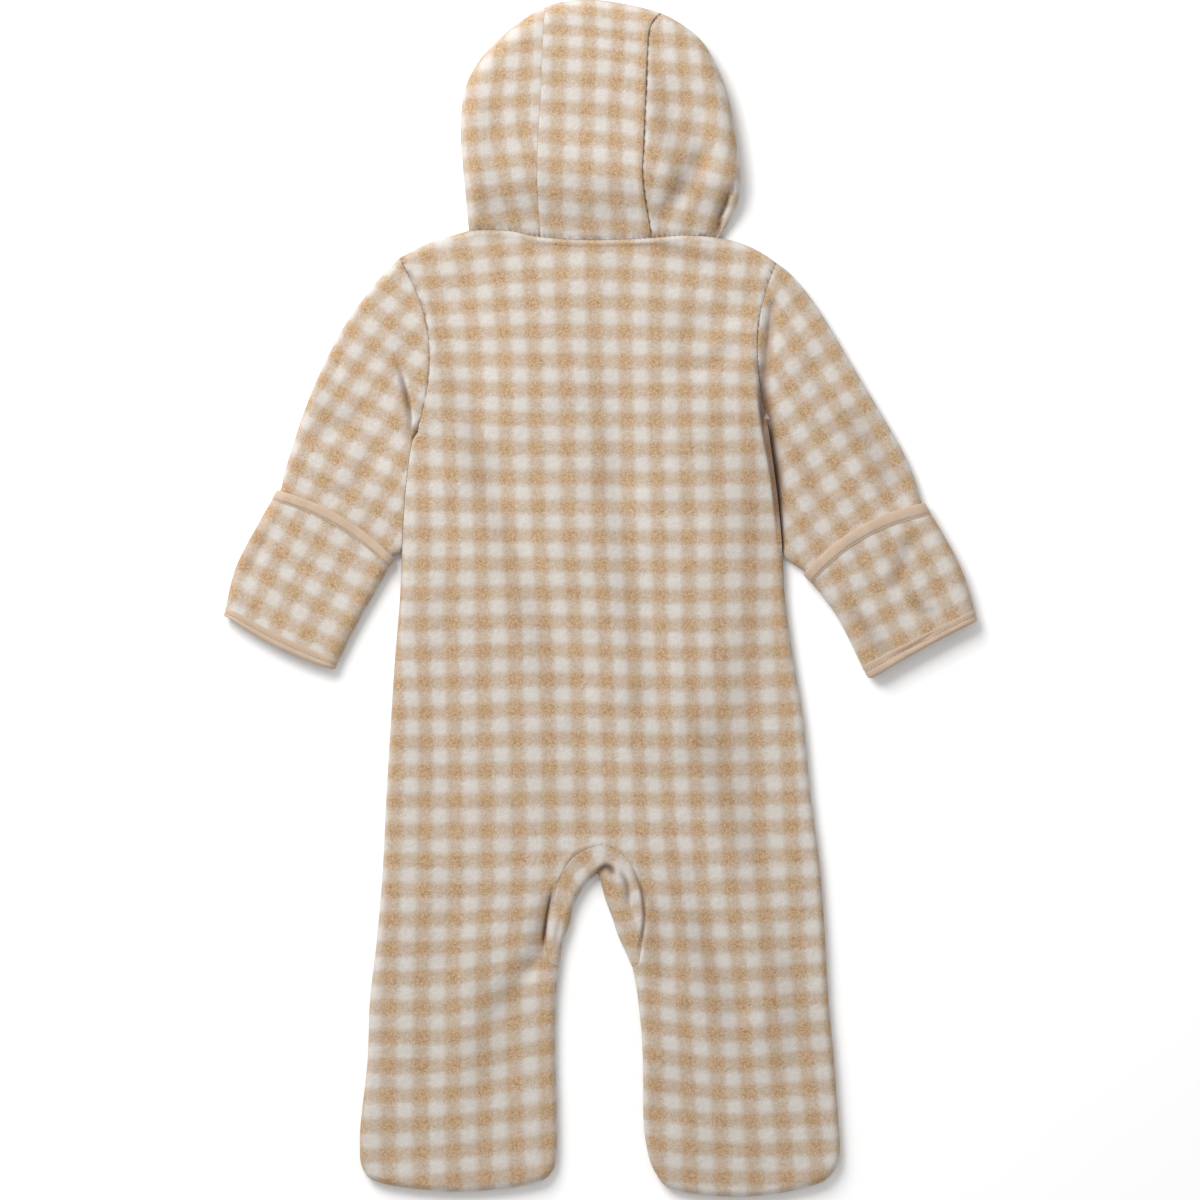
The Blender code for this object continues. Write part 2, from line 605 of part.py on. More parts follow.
def half_panel(turn, top, zip_gap, step):
    # Rows of points over one half of the back or one front.
    outer = body_side[turn]
    underarm = (SLEEVE_LEFT if turn > 0 else SLEEVE_RIGHT)[SLEEVE_UNDERARM].inner_y
    shoulder = shoulder_left if turn > 0 else shoulder_right
    foot = FEET[0] if turn > 0 else FEET[1]
    inner = inner_curve(turn, zip_gap)
    neck_top = inner[0][1]
    neck = neck_back[turn] if top else neck_front(turn)
    levels = panel_levels(step, neck_top)
    knots_in = [FOOT_CORNER, -100 * MM, UNDERARM, neck_top]
    knots_out = [FOOT_CORNER, -100 * MM, underarm, outer[0][1]]
    rows = []
    for level in levels:
        into_leg = ease((level - GUSSET_TIP - 10 * MM) / (40 * MM))
        past_arm = ease((level - UNDERARM - 8 * MM) / (30 * MM))
        y_out = np.interp(level, knots_in, knots_out)
        sunk = ease((FOOT_CORNER + 60 * MM - level) / (60 * MM))
        y_in = level + (foot.inner_y - FOOT_CORNER) * sunk
        start, end = at_y(outer, y_out), at_y(inner, y_in)
        width = np.linalg.norm(end - start)
        near = SUIT_ROLL + 10 * MM * past_arm
        far = SUIT_ROLL + 12 * MM * into_leg
        rows.append(start + (end - start) * spread(width, near, far, SIDE_COLUMNS)[:, None])
    # The neck and shoulder shape the first rows, the sole shapes the last ones.
    head = np.vstack([along(shoulder, SHOULDER_SHARES)[:-1], neck])
    tail = foot_bottom(foot, spread(1.0, 0.04, 0.04, SIDE_COLUMNS))
    head_shift = head - rows[0]
    tail_shift = tail - rows[-1]
    shaped = []
    for level, row in zip(levels, rows):
        near_head = 1 - ease((neck_top - level - ROLL_SHARES[-1] * SUIT_ROLL) / CORRECTION_LENGTH)
        near_tail = 1 - ease((level - FOOT_CORNER - ROLL_SHARES[-1] * SUIT_ROLL) / CORRECTION_LENGTH)
        row = row + head_shift * near_head + tail_shift * near_tail
        shaped.append(row)
    return shaped


def neck_front(turn):
    corner = np.array(NECK_LEFT if turn > 0 else NECK_RIGHT)
    centre = np.array([-turn * ZIP_CHANNEL / 2, NECK_FRONT])
    shares = np.array(NECK_SHARES)[:, None]
    sag = np.array([0.0, -1.0]) * NECK_FRONT_SAG * 4 * shares * (1 - shares)
    return corner + (centre - corner) * shares + sag


def laid_rows(rows, top):
    return [suit_sheet(row, top) for row in rows]


def build_back():
    left = laid_rows(half_panel(+1, True, 0.0, BACK_STEP), True)
    right = half_panel(-1, True, 0.0, BACK_STEP)
    right = laid_rows([row[::-1] for row in right], True)
    wall("back", [left, right], FLEECE)


def build_fronts():
    for name, turn in (("front_left", +1), ("front_right", -1)):
        rows = half_panel(turn, False, ZIP_CHANNEL, FRONT_STEP)
        wall(name, [laid_rows(rows, False)], FLEECE)


def build_gusset():
    levels = [CROTCH + (GUSSET_END - CROTCH) * (row / ARCH_ROWS) ** 1.8 for row in range(ARCH_ROWS + 1)]
    seam_y = gusset_seam[:, 1]
    middle = GUSSET_CROTCH * CURVE_PIECES
    left = [np.interp(y, seam_y[:middle + 1], gusset_places[:middle + 1]) for y in reversed(levels)]
    right = [np.interp(-y, -seam_y[middle:], gusset_places[middle:]) for y in levels[1:]]
    top_rows, bottom_rows = [], []
    for place in left + right:
        seam_x, seam_y_here, edge_x, edge_y = between(GUSSET, place)
        seam, edge = np.array([seam_x, seam_y_here]), np.array([edge_x, edge_y])
        width = np.linalg.norm(edge - seam)
        across = [SUIT_ROLL * share / width for share in ROLL_SHARES[:-1]]
        if place in (left[0], right[-1]):
            shares = np.array(TIP_SHARES)
        else:
            shares = np.array([1.0, 0.5 * (1 + across[-1])] + across[::-1])
        row = edge + (seam - edge) * shares[:, None]
        top_rows.append(suit_sheet(row, True))
        bottom_rows.append(suit_sheet(row[::-1], False))
    wall("crotch_gusset", [top_rows, bottom_rows], FLEECE)


# Sleeves and mittens

def sleeve_rows(rows, turn, places, top):
    laid = []
    for place in places:
        width = np.linalg.norm(np.subtract(*sleeve_line(rows, place, [0.0, 1.0], turn)[0]))
        roll = min(SLEEVE_ROLL, 0.3 * width)
        shares = spread(max(width, 0.01 * MM), roll, roll, SLEEVE_COLUMNS)
        line, height = sleeve_line(rows, place, shares, turn)
        laid.append(lay(line, sleeve_outlines[turn], top, height, SLEEVE_ROLL))
    return laid


def around(rows, turn, places):
    # Closed rings, over the top and back underneath.
    upper = sleeve_rows(rows, turn, places, True)
    lower = sleeve_rows(rows, turn, places, False)
    return [Sheet(np.vstack([up.outer, down.outer[-2::-1]]), np.vstack([up.normal, down.normal[-2::-1]]))
            for up, down in zip(upper, lower)]


def moved_out(rows, distance):
    # The same rows, moved out from the cloth that they lie on.
    return [Sheet(row.outer + row.normal * distance, row.normal) for row in rows]


def build_sleeve(side, rows, turn):
    places = SLEEVE_PLACES + list(FLAP_PLACES)
    upper = sleeve_rows(rows, turn, places, True)
    lower = [Sheet(row.outer[::-1], row.normal[::-1]) for row in sleeve_rows(rows, turn, places, False)]
    wall("sleeve_" + side, [upper, lower], FLEECE)


def build_flap(side, rows, turn):
    laid = moved_out(sleeve_rows(rows, turn, FLAP_PLACES, True), SEAM_GAP + WALL)
    wall("mitt_flap_" + side, [laid], FLEECE)
    edge = moved_out(sleeve_rows(rows, turn, [FLAP_TOP, FLAP_SEAM], True), SEAM_GAP + WALL + BINDING_PROUD)
    wall("flap_binding_" + side, [edge], BINDING, thickness=WALL + BINDING_PROUD)


def build_cuff(side, rows, turn):
    # The binding goes round sleeve and flap together; underneath it lies flat.
    rings = []
    for ring in around(rows, turn, np.linspace(CUFF_SEAM, len(rows) - 1, 3)):
        up = ring.normal[:, 2]
        out = (SEAM_GAP + WALL + BINDING_PROUD) * np.where(up >= 0, 1.0, 1 + up)
        rings.append((ring, out))
    raised = [Sheet(ring.outer + ring.normal * out[:, None], ring.normal) for ring, out in rings]
    ring_wall("cuff_binding_" + side, raised, [WALL + out for ring, out in rings], BINDING)


def ring_wall(name, rings, depths, finish):
    # A closed band whose thickness changes round it.
    size = len(rings[0].outer) - 1
    outer, inner, faces = [], [], []
    for ring, depth in zip(rings, depths):
        outer += list(ring.outer[:-1])
        inner += list(ring.outer[:-1] - ring.normal[:-1] * np.asarray(depth)[:-1, None])
    outer, inner = np.array(outer), np.array(inner)
    last = len(rings) - 1
    step = outer[size:2 * size] - outer[:size]
    step /= np.linalg.norm(step, axis=1)[:, None]
    outer[:size] += step * SEAM_GAP / 2
    inner[:size] += step * SEAM_GAP / 2
    count = len(outer)
    for band in range(last):
        for column in range(size):
            a, b = band * size + column, band * size + (column + 1) % size
            faces.append([a, a + size, b + size, b])
            faces.append([b + count, b + size + count, a + size + count, a + count])
    for column in range(size):
        a, b = column, (column + 1) % size
        faces.append([a, b, b + count, a + count])
        a, b = last * size + column, last * size + (column + 1) % size
        faces.append([b, a, a + count, b + count])
    mesh = bpy.data.meshes.new(name)
    mesh.from_pydata(np.vstack([outer, inner]).tolist(), [], faces)
    solid = finish_object(name, mesh, finish)
    turn_outwards(solid)


def turn_outwards(solid):
    shape = bmesh.new()
    shape.from_mesh(solid.data)
    bmesh.ops.recalc_face_normals(shape, faces=shape.faces)
    shape.to_mesh(solid.data)
    shape.free()


# Hood

def face_edge(share):
    # The face opening, from the zip (0) over the forehead (0.5) back to the zip (1).
    end = math.pi - math.asin(ZIP_CHANNEL / FACE_WIDTH)
    angle = end * (2 * share - 1)
    rise = (math.cos(angle) - math.cos(end)) / (1 - math.cos(end))
    return np.array([FACE_WIDTH / 2 * math.sin(angle), NECK_FRONT + (FACE_TOP - NECK_FRONT) * rise])


def build_hood():
    crown_left = along(hood_outline[:CROWN_LEFT * CURVE_PIECES + 1][::-1], hood_row_shares())
    crown_right = along(hood_outline[CROWN_RIGHT * CURVE_PIECES:], hood_row_shares())
    seam_left = along(smooth(points_of(HOOD_SEAM_LEFT)), hood_row_shares())
    seam_right = along(smooth(points_of(HOOD_SEAM_RIGHT)), hood_row_shares())
    build_hood_side("hood_left", crown_left, seam_left, +1)
    build_hood_side("hood_right", crown_right, seam_right, -1)
    build_hood_centre(seam_left, seam_right)


def hood_row_shares():
    rolled = np.array(ROLL_SHARES) * HOOD_ROLL / (150 * MM)
    rest = np.linspace(rolled[-1], 1.0, 11)[1:]
    return np.concatenate([rolled, rest])


def build_hood_side(name, edge, seam, turn):
    outside = turn * neck_back[turn][:, 0] < turn * seam[-1][0] - 1 * MM
    neck = np.vstack([neck_back[turn][outside], seam[-1]])
    front = neck_front(turn)
    top_rows, under_rows = [], []
    for row, share in enumerate(hood_row_shares()):
        near_neck = ease((share - 0.6) / 0.4)
        width = np.linalg.norm(seam[row] - edge[row])
        places = hood_columns(width, HOOD_TOP_COLUMNS)
        line = edge[row] + (seam[row] - edge[row]) * places[:, None]
        straight = neck[0] + (neck[-1] - neck[0]) * places[:, None]
        top_rows.append(suit_sheet((line + (neck - straight) * near_neck)[::-1], True))
        brim = face_edge(0.5 - turn * (FOREHEAD_SHARE + (0.5 - FOREHEAD_SHARE) * share))
        width = np.linalg.norm(brim - edge[row])
        places = hood_columns(width, HOOD_UNDER_COLUMNS)
        line = edge[row] + (brim - edge[row]) * places[:, None]
        straight = front[0] + (front[-1] - front[0]) * places[:, None]
        under_rows.append(suit_sheet(line + (front - straight) * near_neck, False))
    wall(name, [top_rows, under_rows], FLEECE)


def hood_columns(width, count):
    # Shares across a hood panel, close together where it rolls over the outline.
    rolled = np.array(ROLL_SHARES) * min(HOOD_ROLL, 0.35 * width)
    return np.concatenate([rolled, np.linspace(rolled[-1], max(width, 1e-6), count + 1)[1:]]) / max(width, 1e-6)


def build_hood_centre(seam_left, seam_right):
    crown = hood_outline[CROWN_LEFT * CURVE_PIECES:CROWN_RIGHT * CURVE_PIECES + 1]
    columns = np.linspace(0, 1, 8)
    crown = along(crown, columns)
    neck = np.vstack([neck_back[+1], neck_back[-1][-2::-1]])
    inside = (neck[:, 0] > seam_left[-1][0] + 1 * MM) & (neck[:, 0] < seam_right[-1][0] - 1 * MM)
    neck = along(np.vstack([seam_left[-1], neck[inside], seam_right[-1]]), columns)
    top_rows, under_rows = [], []
    for row, share in enumerate(hood_row_shares()):
        line = seam_left[row] + (seam_right[row] - seam_left[row]) * columns[:, None]
        first = seam_left[0] + (seam_right[0] - seam_left[0]) * columns[:, None]
        last = seam_left[-1] + (seam_right[-1] - seam_left[-1]) * columns[:, None]
        line = line + (crown - first) * (1 - ease(share / 0.7)) + (neck - last) * ease((share - 0.5) / 0.5)
        top_rows.append(suit_sheet(line, True))
    brim = np.array([face_edge(0.5 + FOREHEAD_SHARE * (2 * column - 1)) for column in columns])
    shares = np.concatenate([np.array(ROLL_SHARES) * HOOD_ROLL / (40 * MM), [0.7, 1.0]])
    for share in shares:
        line = crown + (brim - crown) * share
        under_rows.append(suit_sheet(line, False))
    wall("hood_centre", [top_rows[::-1], under_rows], FLEECE)


# Zip

def block(name, low, high, finish, bevel=0.0):
    shape = bmesh.new()
    bmesh.ops.create_cube(shape, size=1.0)
    for vertex in shape.verts:
        vertex.co = [a + (b - a) * (c + 0.5) for a, b, c in zip(low, high, vertex.co)]
    if bevel:
        bmesh.ops.bevel(shape, geom=shape.edges[:], offset=bevel, segments=2, affect="EDGES", profile=0.5)
    mesh = bpy.data.meshes.new(name)
    shape.to_mesh(mesh)
    shape.free()
    return finish_object(name, mesh, finish)


def build_zip():
    tape_z = WALL + SEAM_GAP
    low = ZIP_BOTTOM + ZIP_CLEAR
    for name, turn in (("zip_tape_left", -1), ("zip_tape_right", +1)):
        near, far = turn * TAPE_APART / 2, turn * (TAPE_APART / 2 + TAPE_WIDTH)
        block(name, (min(near, far), low, tape_z),
              (max(near, far), ZIP_TOP, tape_z + TAPE_THICKNESS), TAPE)
    chain_top = SLIDER_TOP - SLIDER_LENGTH - SEAM_GAP
    block("zip_chain", (-CHAIN_WIDTH / 2, low, WALL - CHAIN_THICKNESS),
          (CHAIN_WIDTH / 2, chain_top, WALL), ZIP_PLASTIC, CHAIN_BEVEL)
    build_slider()
    build_pull()


def build_slider():
    under = WALL - SLIDER_THICKNESS
    slider = block("zip_slider", (-SLIDER_WIDTH / 2, SLIDER_TOP - SLIDER_LENGTH, under),
                   (SLIDER_WIDTH / 2, SLIDER_TOP, WALL), ZIP_METAL, SLIDER_BEVEL)
    near_y, far_y = PULL_AXIS_Y - LUG_LENGTH / 2, PULL_AXIS_Y + LUG_LENGTH / 2
    for turn in (-1, +1):
        inside, outside = turn * LUG_APART / 2, turn * (LUG_APART / 2 + LUG_WIDTH)
        lug = block("lug_guide", (min(inside, outside), near_y, PULL_AXIS_Z - LUG_BELOW_AXIS),
                    (max(inside, outside), far_y, under + SLIDER_BEVEL), ZIP_METAL)
        lug.hide_render = True
        lug.display_type = "WIRE"
        union = slider.modifiers.new("lug", "BOOLEAN")
        union.operation = "UNION"
        union.object = lug


def build_pull():
    # A flat tab with its origin on the hinge axis. Its hinge end is half round.
    half = PULL_THICKNESS / 2
    angles = np.radians(PULL_END_ANGLES)
    sections = [(half * math.cos(angle), PULL[0].width, half * math.sin(angle)) for angle in angles]
    sections += [(-row.from_axis, row.width, half) for row in PULL]
    shape = bmesh.new()
    rings = []
    for y, width, rise in sections:
        corners = [(-width / 2, y, -rise), (width / 2, y, -rise), (width / 2, y, rise), (-width / 2, y, rise)]
        rings.append([shape.verts.new(corner) for corner in corners])
    for ring, following in zip(rings, rings[1:]):
        for corner in range(4):
            after = (corner + 1) % 4
            shape.faces.new([ring[corner], ring[after], following[after], following[corner]])
    shape.faces.new(rings[0])
    shape.faces.new(rings[-1])
    bmesh.ops.recalc_face_normals(shape, faces=shape.faces)
    mesh = bpy.data.meshes.new("zip_pull")
    shape.to_mesh(mesh)
    shape.free()
    pull = finish_object("zip_pull", mesh, ZIP_METAL)
    pull.location = (0.0, PULL_AXIS_Y, PULL_AXIS_Z)


for old in list(bpy.data.objects):
    bpy.data.objects.remove(old)
build_back()
build_fronts()
build_gusset()
for side_name, sections, direction in (("left", SLEEVE_LEFT, +1), ("right", SLEEVE_RIGHT, -1)):
    build_sleeve(side_name, sections, direction)
    build_flap(side_name, sections, direction)
    build_cuff(side_name, sections, direction)
build_hood()
build_zip()
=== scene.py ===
# A baby's bunting suit in brushed gingham fleece, lying face down.
# Metres, +Y runs towards the hood, -X is the wearer's left, +Z is up.
import math
import bmesh
import bpy
import numpy as np
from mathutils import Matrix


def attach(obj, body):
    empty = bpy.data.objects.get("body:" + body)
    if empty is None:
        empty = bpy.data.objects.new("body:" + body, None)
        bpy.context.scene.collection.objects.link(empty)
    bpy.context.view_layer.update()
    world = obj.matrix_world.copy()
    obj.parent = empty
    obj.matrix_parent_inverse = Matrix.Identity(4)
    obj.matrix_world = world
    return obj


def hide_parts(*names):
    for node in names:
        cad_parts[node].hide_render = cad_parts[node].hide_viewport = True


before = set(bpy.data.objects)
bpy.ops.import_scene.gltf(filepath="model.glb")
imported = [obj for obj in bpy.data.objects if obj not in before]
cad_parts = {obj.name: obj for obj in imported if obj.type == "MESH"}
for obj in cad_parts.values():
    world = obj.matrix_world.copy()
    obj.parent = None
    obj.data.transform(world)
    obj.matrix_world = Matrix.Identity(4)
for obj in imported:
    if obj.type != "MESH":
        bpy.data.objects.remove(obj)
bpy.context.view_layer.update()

mm = 0.001
sides = {"left": 1, "right": -1}


def inMm(*rows):
    return np.array(rows, dtype=float) * mm


# How the whole suit lies. The shapes are those of the solids.
suit = {
    "wall": 3.0 * mm,           # brushed fleece with its nap
    "seamGap": 0.12 * mm,       # between two pieces that are sewn together
    "height": 9.6 * mm,         # front and back lying on each other
    "roll": 5.0 * mm,           # width of the rounded edge
    "hoodHeight": 21.0 * mm,
    "hoodRoll": 11.0 * mm,
    "riseFrom": 236.0 * mm,     # where the cloth starts to rise into the hood
    "riseLength": 48.0 * mm,
    "neckBack": 236.6 * mm,
    "neckFront": 220.0 * mm,
    "neckSag": 5.0 * mm,
    "underarm": 112.0 * mm,
    "crotch": -162.4 * mm,
    "gussetEnd": -240.0 * mm,
    "gussetTip": -243.0 * mm,
    "footCorner": -381.0 * mm,
    "lumps": 0.22 * mm,         # slow unevenness of the cloth
    "lumpSize": 34.0 * mm,
    "deepestShade": 0.75,       # painted shade at most, in a crease or at a seam
}
# The grid of points over half of the back or one front, and how it bends to its ends.
panel = {
    "rowStep": 2.5 * mm,
    "archRows": 36,             # from the crotch down to the gusset's end
    "columns": 44,
    "shoulderColumns": 12,
    "waist": -100.0 * mm,
    "widerRoll": 4.0 * mm,      # more of the width for the rolled edge, on arms' and legs' side
    "armFade": (8.0 * mm, 30.0 * mm),
    "legFade": (10.0 * mm, 40.0 * mm),
    "footSink": 60.0 * mm,
    "endBlend": 70.0 * mm,
}
# Where a sleeve lies against the side of the body, both edges stay up. Only the right
# sleeve sinks there.
valley = {
    "from": 24.0 * mm,
    "fadeBelow": 14.0 * mm,
    "fadeAbove": 10.0 * mm,
    "reach": 5.0 * mm,
    "raised": 0.42,             # of the height
    "sleeveShare": {1: 1.0, -1: -0.5},
}

# Lines seen from above: x, y.
neckSeam = {
    1: inMm((-86.8, 242.6), (-72, 243.2), (-58, 242.2), (-40, 238.6), (-20, 236.9), (0, 236.6)),
    -1: inMm((78.2, 238), (66, 239.2), (52, 239.4), (34, 238), (16, 236.9), (0, 236.6))}
shoulder = {
    1: inMm((-132.3, 224.7), (-120.5, 231.3), (-105.9, 236.9), (-86.8, 242.6)),
    -1: inMm((115.8, 221.4), (105.3, 228.7), (92.1, 234.6), (78.2, 238))}
armhole = {
    1: inMm((-132.3, 224.7), (-122.6, 205), (-116, 187), (-113, 167), (-113.3, 147), (-116.4, 128),
            (-121.1, 109.9)),
    -1: inMm((115.8, 221.4), (109.6, 205), (105, 186), (103.4, 167), (104.4, 149), (106.6, 134),
             (109.6, 118.5))}
sideSeam = {
    1: inMm((-124.9, 100), (-129, 65), (-131, 30), (-132.3, 0), (-135.6, -40), (-138.3, -80),
            (-141.2, -130), (-143.7, -180), (-147.5, -225), (-152.1, -265), (-153.7, -305),
            (-158.1, -345), (-158.7, -362), (-158, -373), (-154, -381)),
    -1: inMm((112.4, 100), (117, 65), (120, 30), (121.8, 0), (127.1, -40), (133.7, -80),
             (138.6, -130), (144.9, -180), (148.2, -225), (150.4, -265), (154.1, -305),
             (156.9, -345), (158, -362), (156.6, -373), (151.5, -381))}
insideLeg = {
    1: inMm((-27.3, -243), (-28.6, -254), (-29.4, -265), (-30, -291.4), (-29.4, -318),
            (-28.7, -344), (-28.7, -362), (-30.1, -374), (-34, -381)),
    -1: inMm((21, -243), (23.2, -254), (24.8, -265), (27.4, -291.4), (28.1, -318),
             (28.3, -344), (30.4, -362), (33.8, -374), (40.5, -385.5))}
foot = {
    1: {"outerX": -154.0 * mm, "innerX": -34.0 * mm, "innerY": -381.0 * mm, "drop": 10.4 * mm},
    -1: {"outerX": 151.5 * mm, "innerX": 40.5 * mm, "innerY": -385.5 * mm, "drop": 11.4 * mm}}
footRoundness = 1.7

# The crotch gusset from the left thigh to the right: its seam, then the edge it folds over.
gussetRows = inMm(
    (-33.5, -240, -27.3, -243), (-36.4, -228, -25, -228), (-34.8, -213, -20.6, -215),
    (-31, -197.5, -17.6, -202.5), (-26.3, -182.5, -12.4, -192), (-16.6, -169.2, -7.2, -185.4),
    (0, -162.4, -1.5, -181.6), (12.9, -167.3, 0.8, -189.5), (22.4, -180, 3.2, -198.5),
    (28.2, -200, 7.4, -209.5), (28.6, -214, 11.3, -221.5), (27, -228, 15.6, -231),
    (25.3, -240, 21, -243))
gussetCrotch = 6

# Sleeves from shoulder to hem: outer end, inner end, bow towards the shoulder, height.
sleeveRows = {
    1: inMm(
        (-132.3, 224.7, -132.3, 224.7, 0, 9.6), (-142, 215.3, -125.6, 211, 0.5, 9.6),
        (-154, 201, -116.8, 190, 1.5, 9.6), (-166.7, 183.5, -113, 165, 2.5, 9.6),
        (-178, 163.5, -114, 140, 3.5, 9.6), (-188.5, 141, -121.1, 109.9, 4.5, 9.5),
        (-197.5, 117.5, -127.2, 86, 5, 9.3), (-204.8, 95, -129.9, 57, 5.4, 9.1),
        (-209, 81, -131, 33, 5.8, 8.9), (-211.5, 70.8, -137, 27.4, 6.3, 8.7),
        (-221.8, 52.8, -146.8, 10.5, 5.2, 8.5), (-238.7, 20.5, -160.6, -13.5, 1.6, 8.4),
        (-245.4, -7, -174.6, -41, -2, 8.4), (-246.2, -12.4, -177.3, -46.8, -3.2, 8.4)),
    -1: inMm(
        (115.8, 221.4, 115.8, 221.4, 0, 9.6), (124.5, 214.8, 111, 209, 0.5, 9.6),
        (136.5, 201, 105.6, 189, 2, 9.6), (149, 182.5, 103.4, 166, 3.5, 9.6),
        (162, 160.5, 105, 144, 5, 9.6), (174.5, 139.5, 109.6, 118.5, 6.5, 9.5),
        (187, 118.5, 113.4, 94, 7.5, 9.3), (199.5, 96.5, 116.9, 62, 8, 9.1),
        (207.2, 78.5, 119.5, 31, 8.2, 8.9), (212, 62.5, 134.8, 17.4, 8, 8.7),
        (223.6, 43.3, 146.8, 3.6, 7, 8.5), (236.6, 18.3, 159.2, -14, 3.5, 8.4),
        (245.1, -9.2, 174.6, -45, 0.3, 8.4), (246.4, -16, 179.8, -52.6, 1, 8.4))}
sleeve = {
    "roll": 5.5 * mm,
    "lumpSize": 30.0 * mm,
    "underarmRow": 5,
    "freeFrom": 8,              # last row whose inner end touches the body
    "clear": 0.1 * mm,          # off the body's side below the underarm
    "flapTop": 9.0,             # rows where the flap's binding, cloth and the cuff start
    "flapSeam": 9.4,
    "cuffSeam": 12.0,
    "rows": 140,
    "columns": 52,
    "flapRows": 34,
    "flapColumns": 40,
    "flapLoose": 0.3 * mm,      # the flap stands a little off the sleeve
}
hood = {
    "outline": inMm(
        (-86.8, 242.6), (-88.6, 262), (-91.2, 290), (-92.2, 313), (-89.6, 335),
        (-82.8, 350.5), (-72, 363.8), (-56.5, 377.5), (-36.6, 390), (-12, 395),
        (14, 392.3), (39.3, 386), (56, 376.8), (67.5, 366.5), (76.5, 351.5),
        (84, 331), (89.2, 304), (92.3, 278), (90.6, 261.5), (85.2, 249.5), (78.2, 238)),
    "crown": {1: 8, -1: 11},    # rows of the outline where the two seams cross it
    "seam": {
        1: inMm((-36.6, 390), (-38.4, 362), (-39.4, 335), (-41.2, 305), (-41.8, 276), (-40, 238.6)),
        -1: inMm((39.3, 386), (32.9, 376), (31.2, 360), (30.2, 335), (28.8, 302), (28.2, 274),
                 (34, 238))},
    "faceWidth": 108.0 * mm,
    "faceTop": 350.0 * mm,
    "foreheadShare": 0.12,
    "rows": 64,
    "sideColumns": 26,
    "centreColumns": 47,
    "seamLength": 150.0 * mm,
    "brimDepth": 40.0 * mm,
    "brimRows": 14,
}
zipShape = {
    "channel": 8.0 * mm,        # between the edges of the two fronts
    "top": 213.0 * mm,
    "bottom": -120.0 * mm,
    "end": 3.0 * mm,
}


# Curves

finePieces = 16                 # from one row of a table to the next


def between(rows, place):
    # A smooth value (Catmull-Rom) of every column at a fractional row number.
    first = min(int(place), len(rows) - 2)
    share = place - first
    p1, p2 = rows[first], rows[first + 1]
    p0 = rows[first - 1] if first > 0 else 2 * p1 - p2
    p3 = rows[first + 2] if first + 2 < len(rows) else 2 * p2 - p1
    return 0.5 * (2 * p1 + (p2 - p0) * share + (2 * p0 - 5 * p1 + 4 * p2 - p3) * share ** 2
                  + (3 * p1 - p0 - 3 * p2 + p3) * share ** 3)


def finePlaces(rows, pieces=finePieces):
    return np.linspace(0, len(rows) - 1, (len(rows) - 1) * pieces + 1)


def smoothCurve(points, pieces=finePieces):
    points = np.asarray(points, dtype=float)
    return np.array([between(points, place) for place in finePlaces(points, pieces)])


def smoothed(lines):
    return {turn: smoothCurve(line) for turn, line in lines.items()}


def runAlong(curve):
    # The length of the curve up to each of its points.
    return np.concatenate([[0.0], np.cumsum(np.linalg.norm(np.diff(curve, axis=0), axis=1))])


def alongCurve(curve, shares):
    # Points at the given shares of a curve's length.
    run = runAlong(curve)
    return np.column_stack([np.interp(shares, run / run[-1], column) for column in curve.T])


def atY(curve, y):
    return np.array([np.interp(-y, -curve[:, 1], curve[:, 0]), y])


def joinCurves(*curves):
    chain = np.vstack(curves)
    apart = np.linalg.norm(np.diff(chain, axis=0), axis=1) > 0.01 * mm
    return chain[np.concatenate([[True], apart])]


def ease(value):
    value = np.clip(value, 0.0, 1.0)
    return value * value * (3 - 2 * value)


# Shares of the rolled edge's width at which it has points.
rollShares = np.array([0.0, 0.03, 0.09, 0.18, 0.3, 0.45, 0.65, 0.88, 1.15])


def spreadShares(length, near, far, count):
    # Shares of a length, close together across the rolled edge at each end.
    middle = np.linspace(near * rollShares[-1], length - far * rollShares[-1], count + 1)[1:-1]
    return np.concatenate([near * rollShares, middle, length - far * rollShares[::-1]]) / length


# Outlines, with the cloth on their right

def makeOutline(*curves):
    def sideways(curve):
        steps = np.diff(curve, axis=0)
        steps /= np.linalg.norm(steps, axis=1)[:, None]
        mean = np.vstack([steps[:1], steps[:-1] + steps[1:], steps[-1:]])
        mean /= np.linalg.norm(mean, axis=1)[:, None]
        return np.column_stack([-mean[:, 1], mean[:, 0]])

    return {"starts": np.concatenate([curve[:-1] for curve in curves]),
            "ends": np.concatenate([curve[1:] for curve in curves]),
            "startNormals": np.concatenate([sideways(curve)[:-1] for curve in curves]),
            "endNormals": np.concatenate([sideways(curve)[1:] for curve in curves])}


def nearestPieces(starts, ends, points):
    # For each point: the nearest straight piece, the share along it and the gap to it.
    step = ends - starts
    square = (step * step).sum(1)
    best = np.empty(len(points), int)
    share = np.empty(len(points))
    for first in range(0, len(points), 2000):
        part = points[first:first + 2000]
        offset = part[:, None, :] - starts[None]
        shares = np.clip((offset * step).sum(2) / square, 0.0, 1.0)
        gap = offset - shares[..., None] * step
        found = (gap * gap).sum(2).argmin(1)
        best[first:first + 2000] = found
        share[first:first + 2000] = shares[np.arange(len(part)), found]
    gap = points - starts[best] - share[:, None] * step[best]
    return best, share, gap


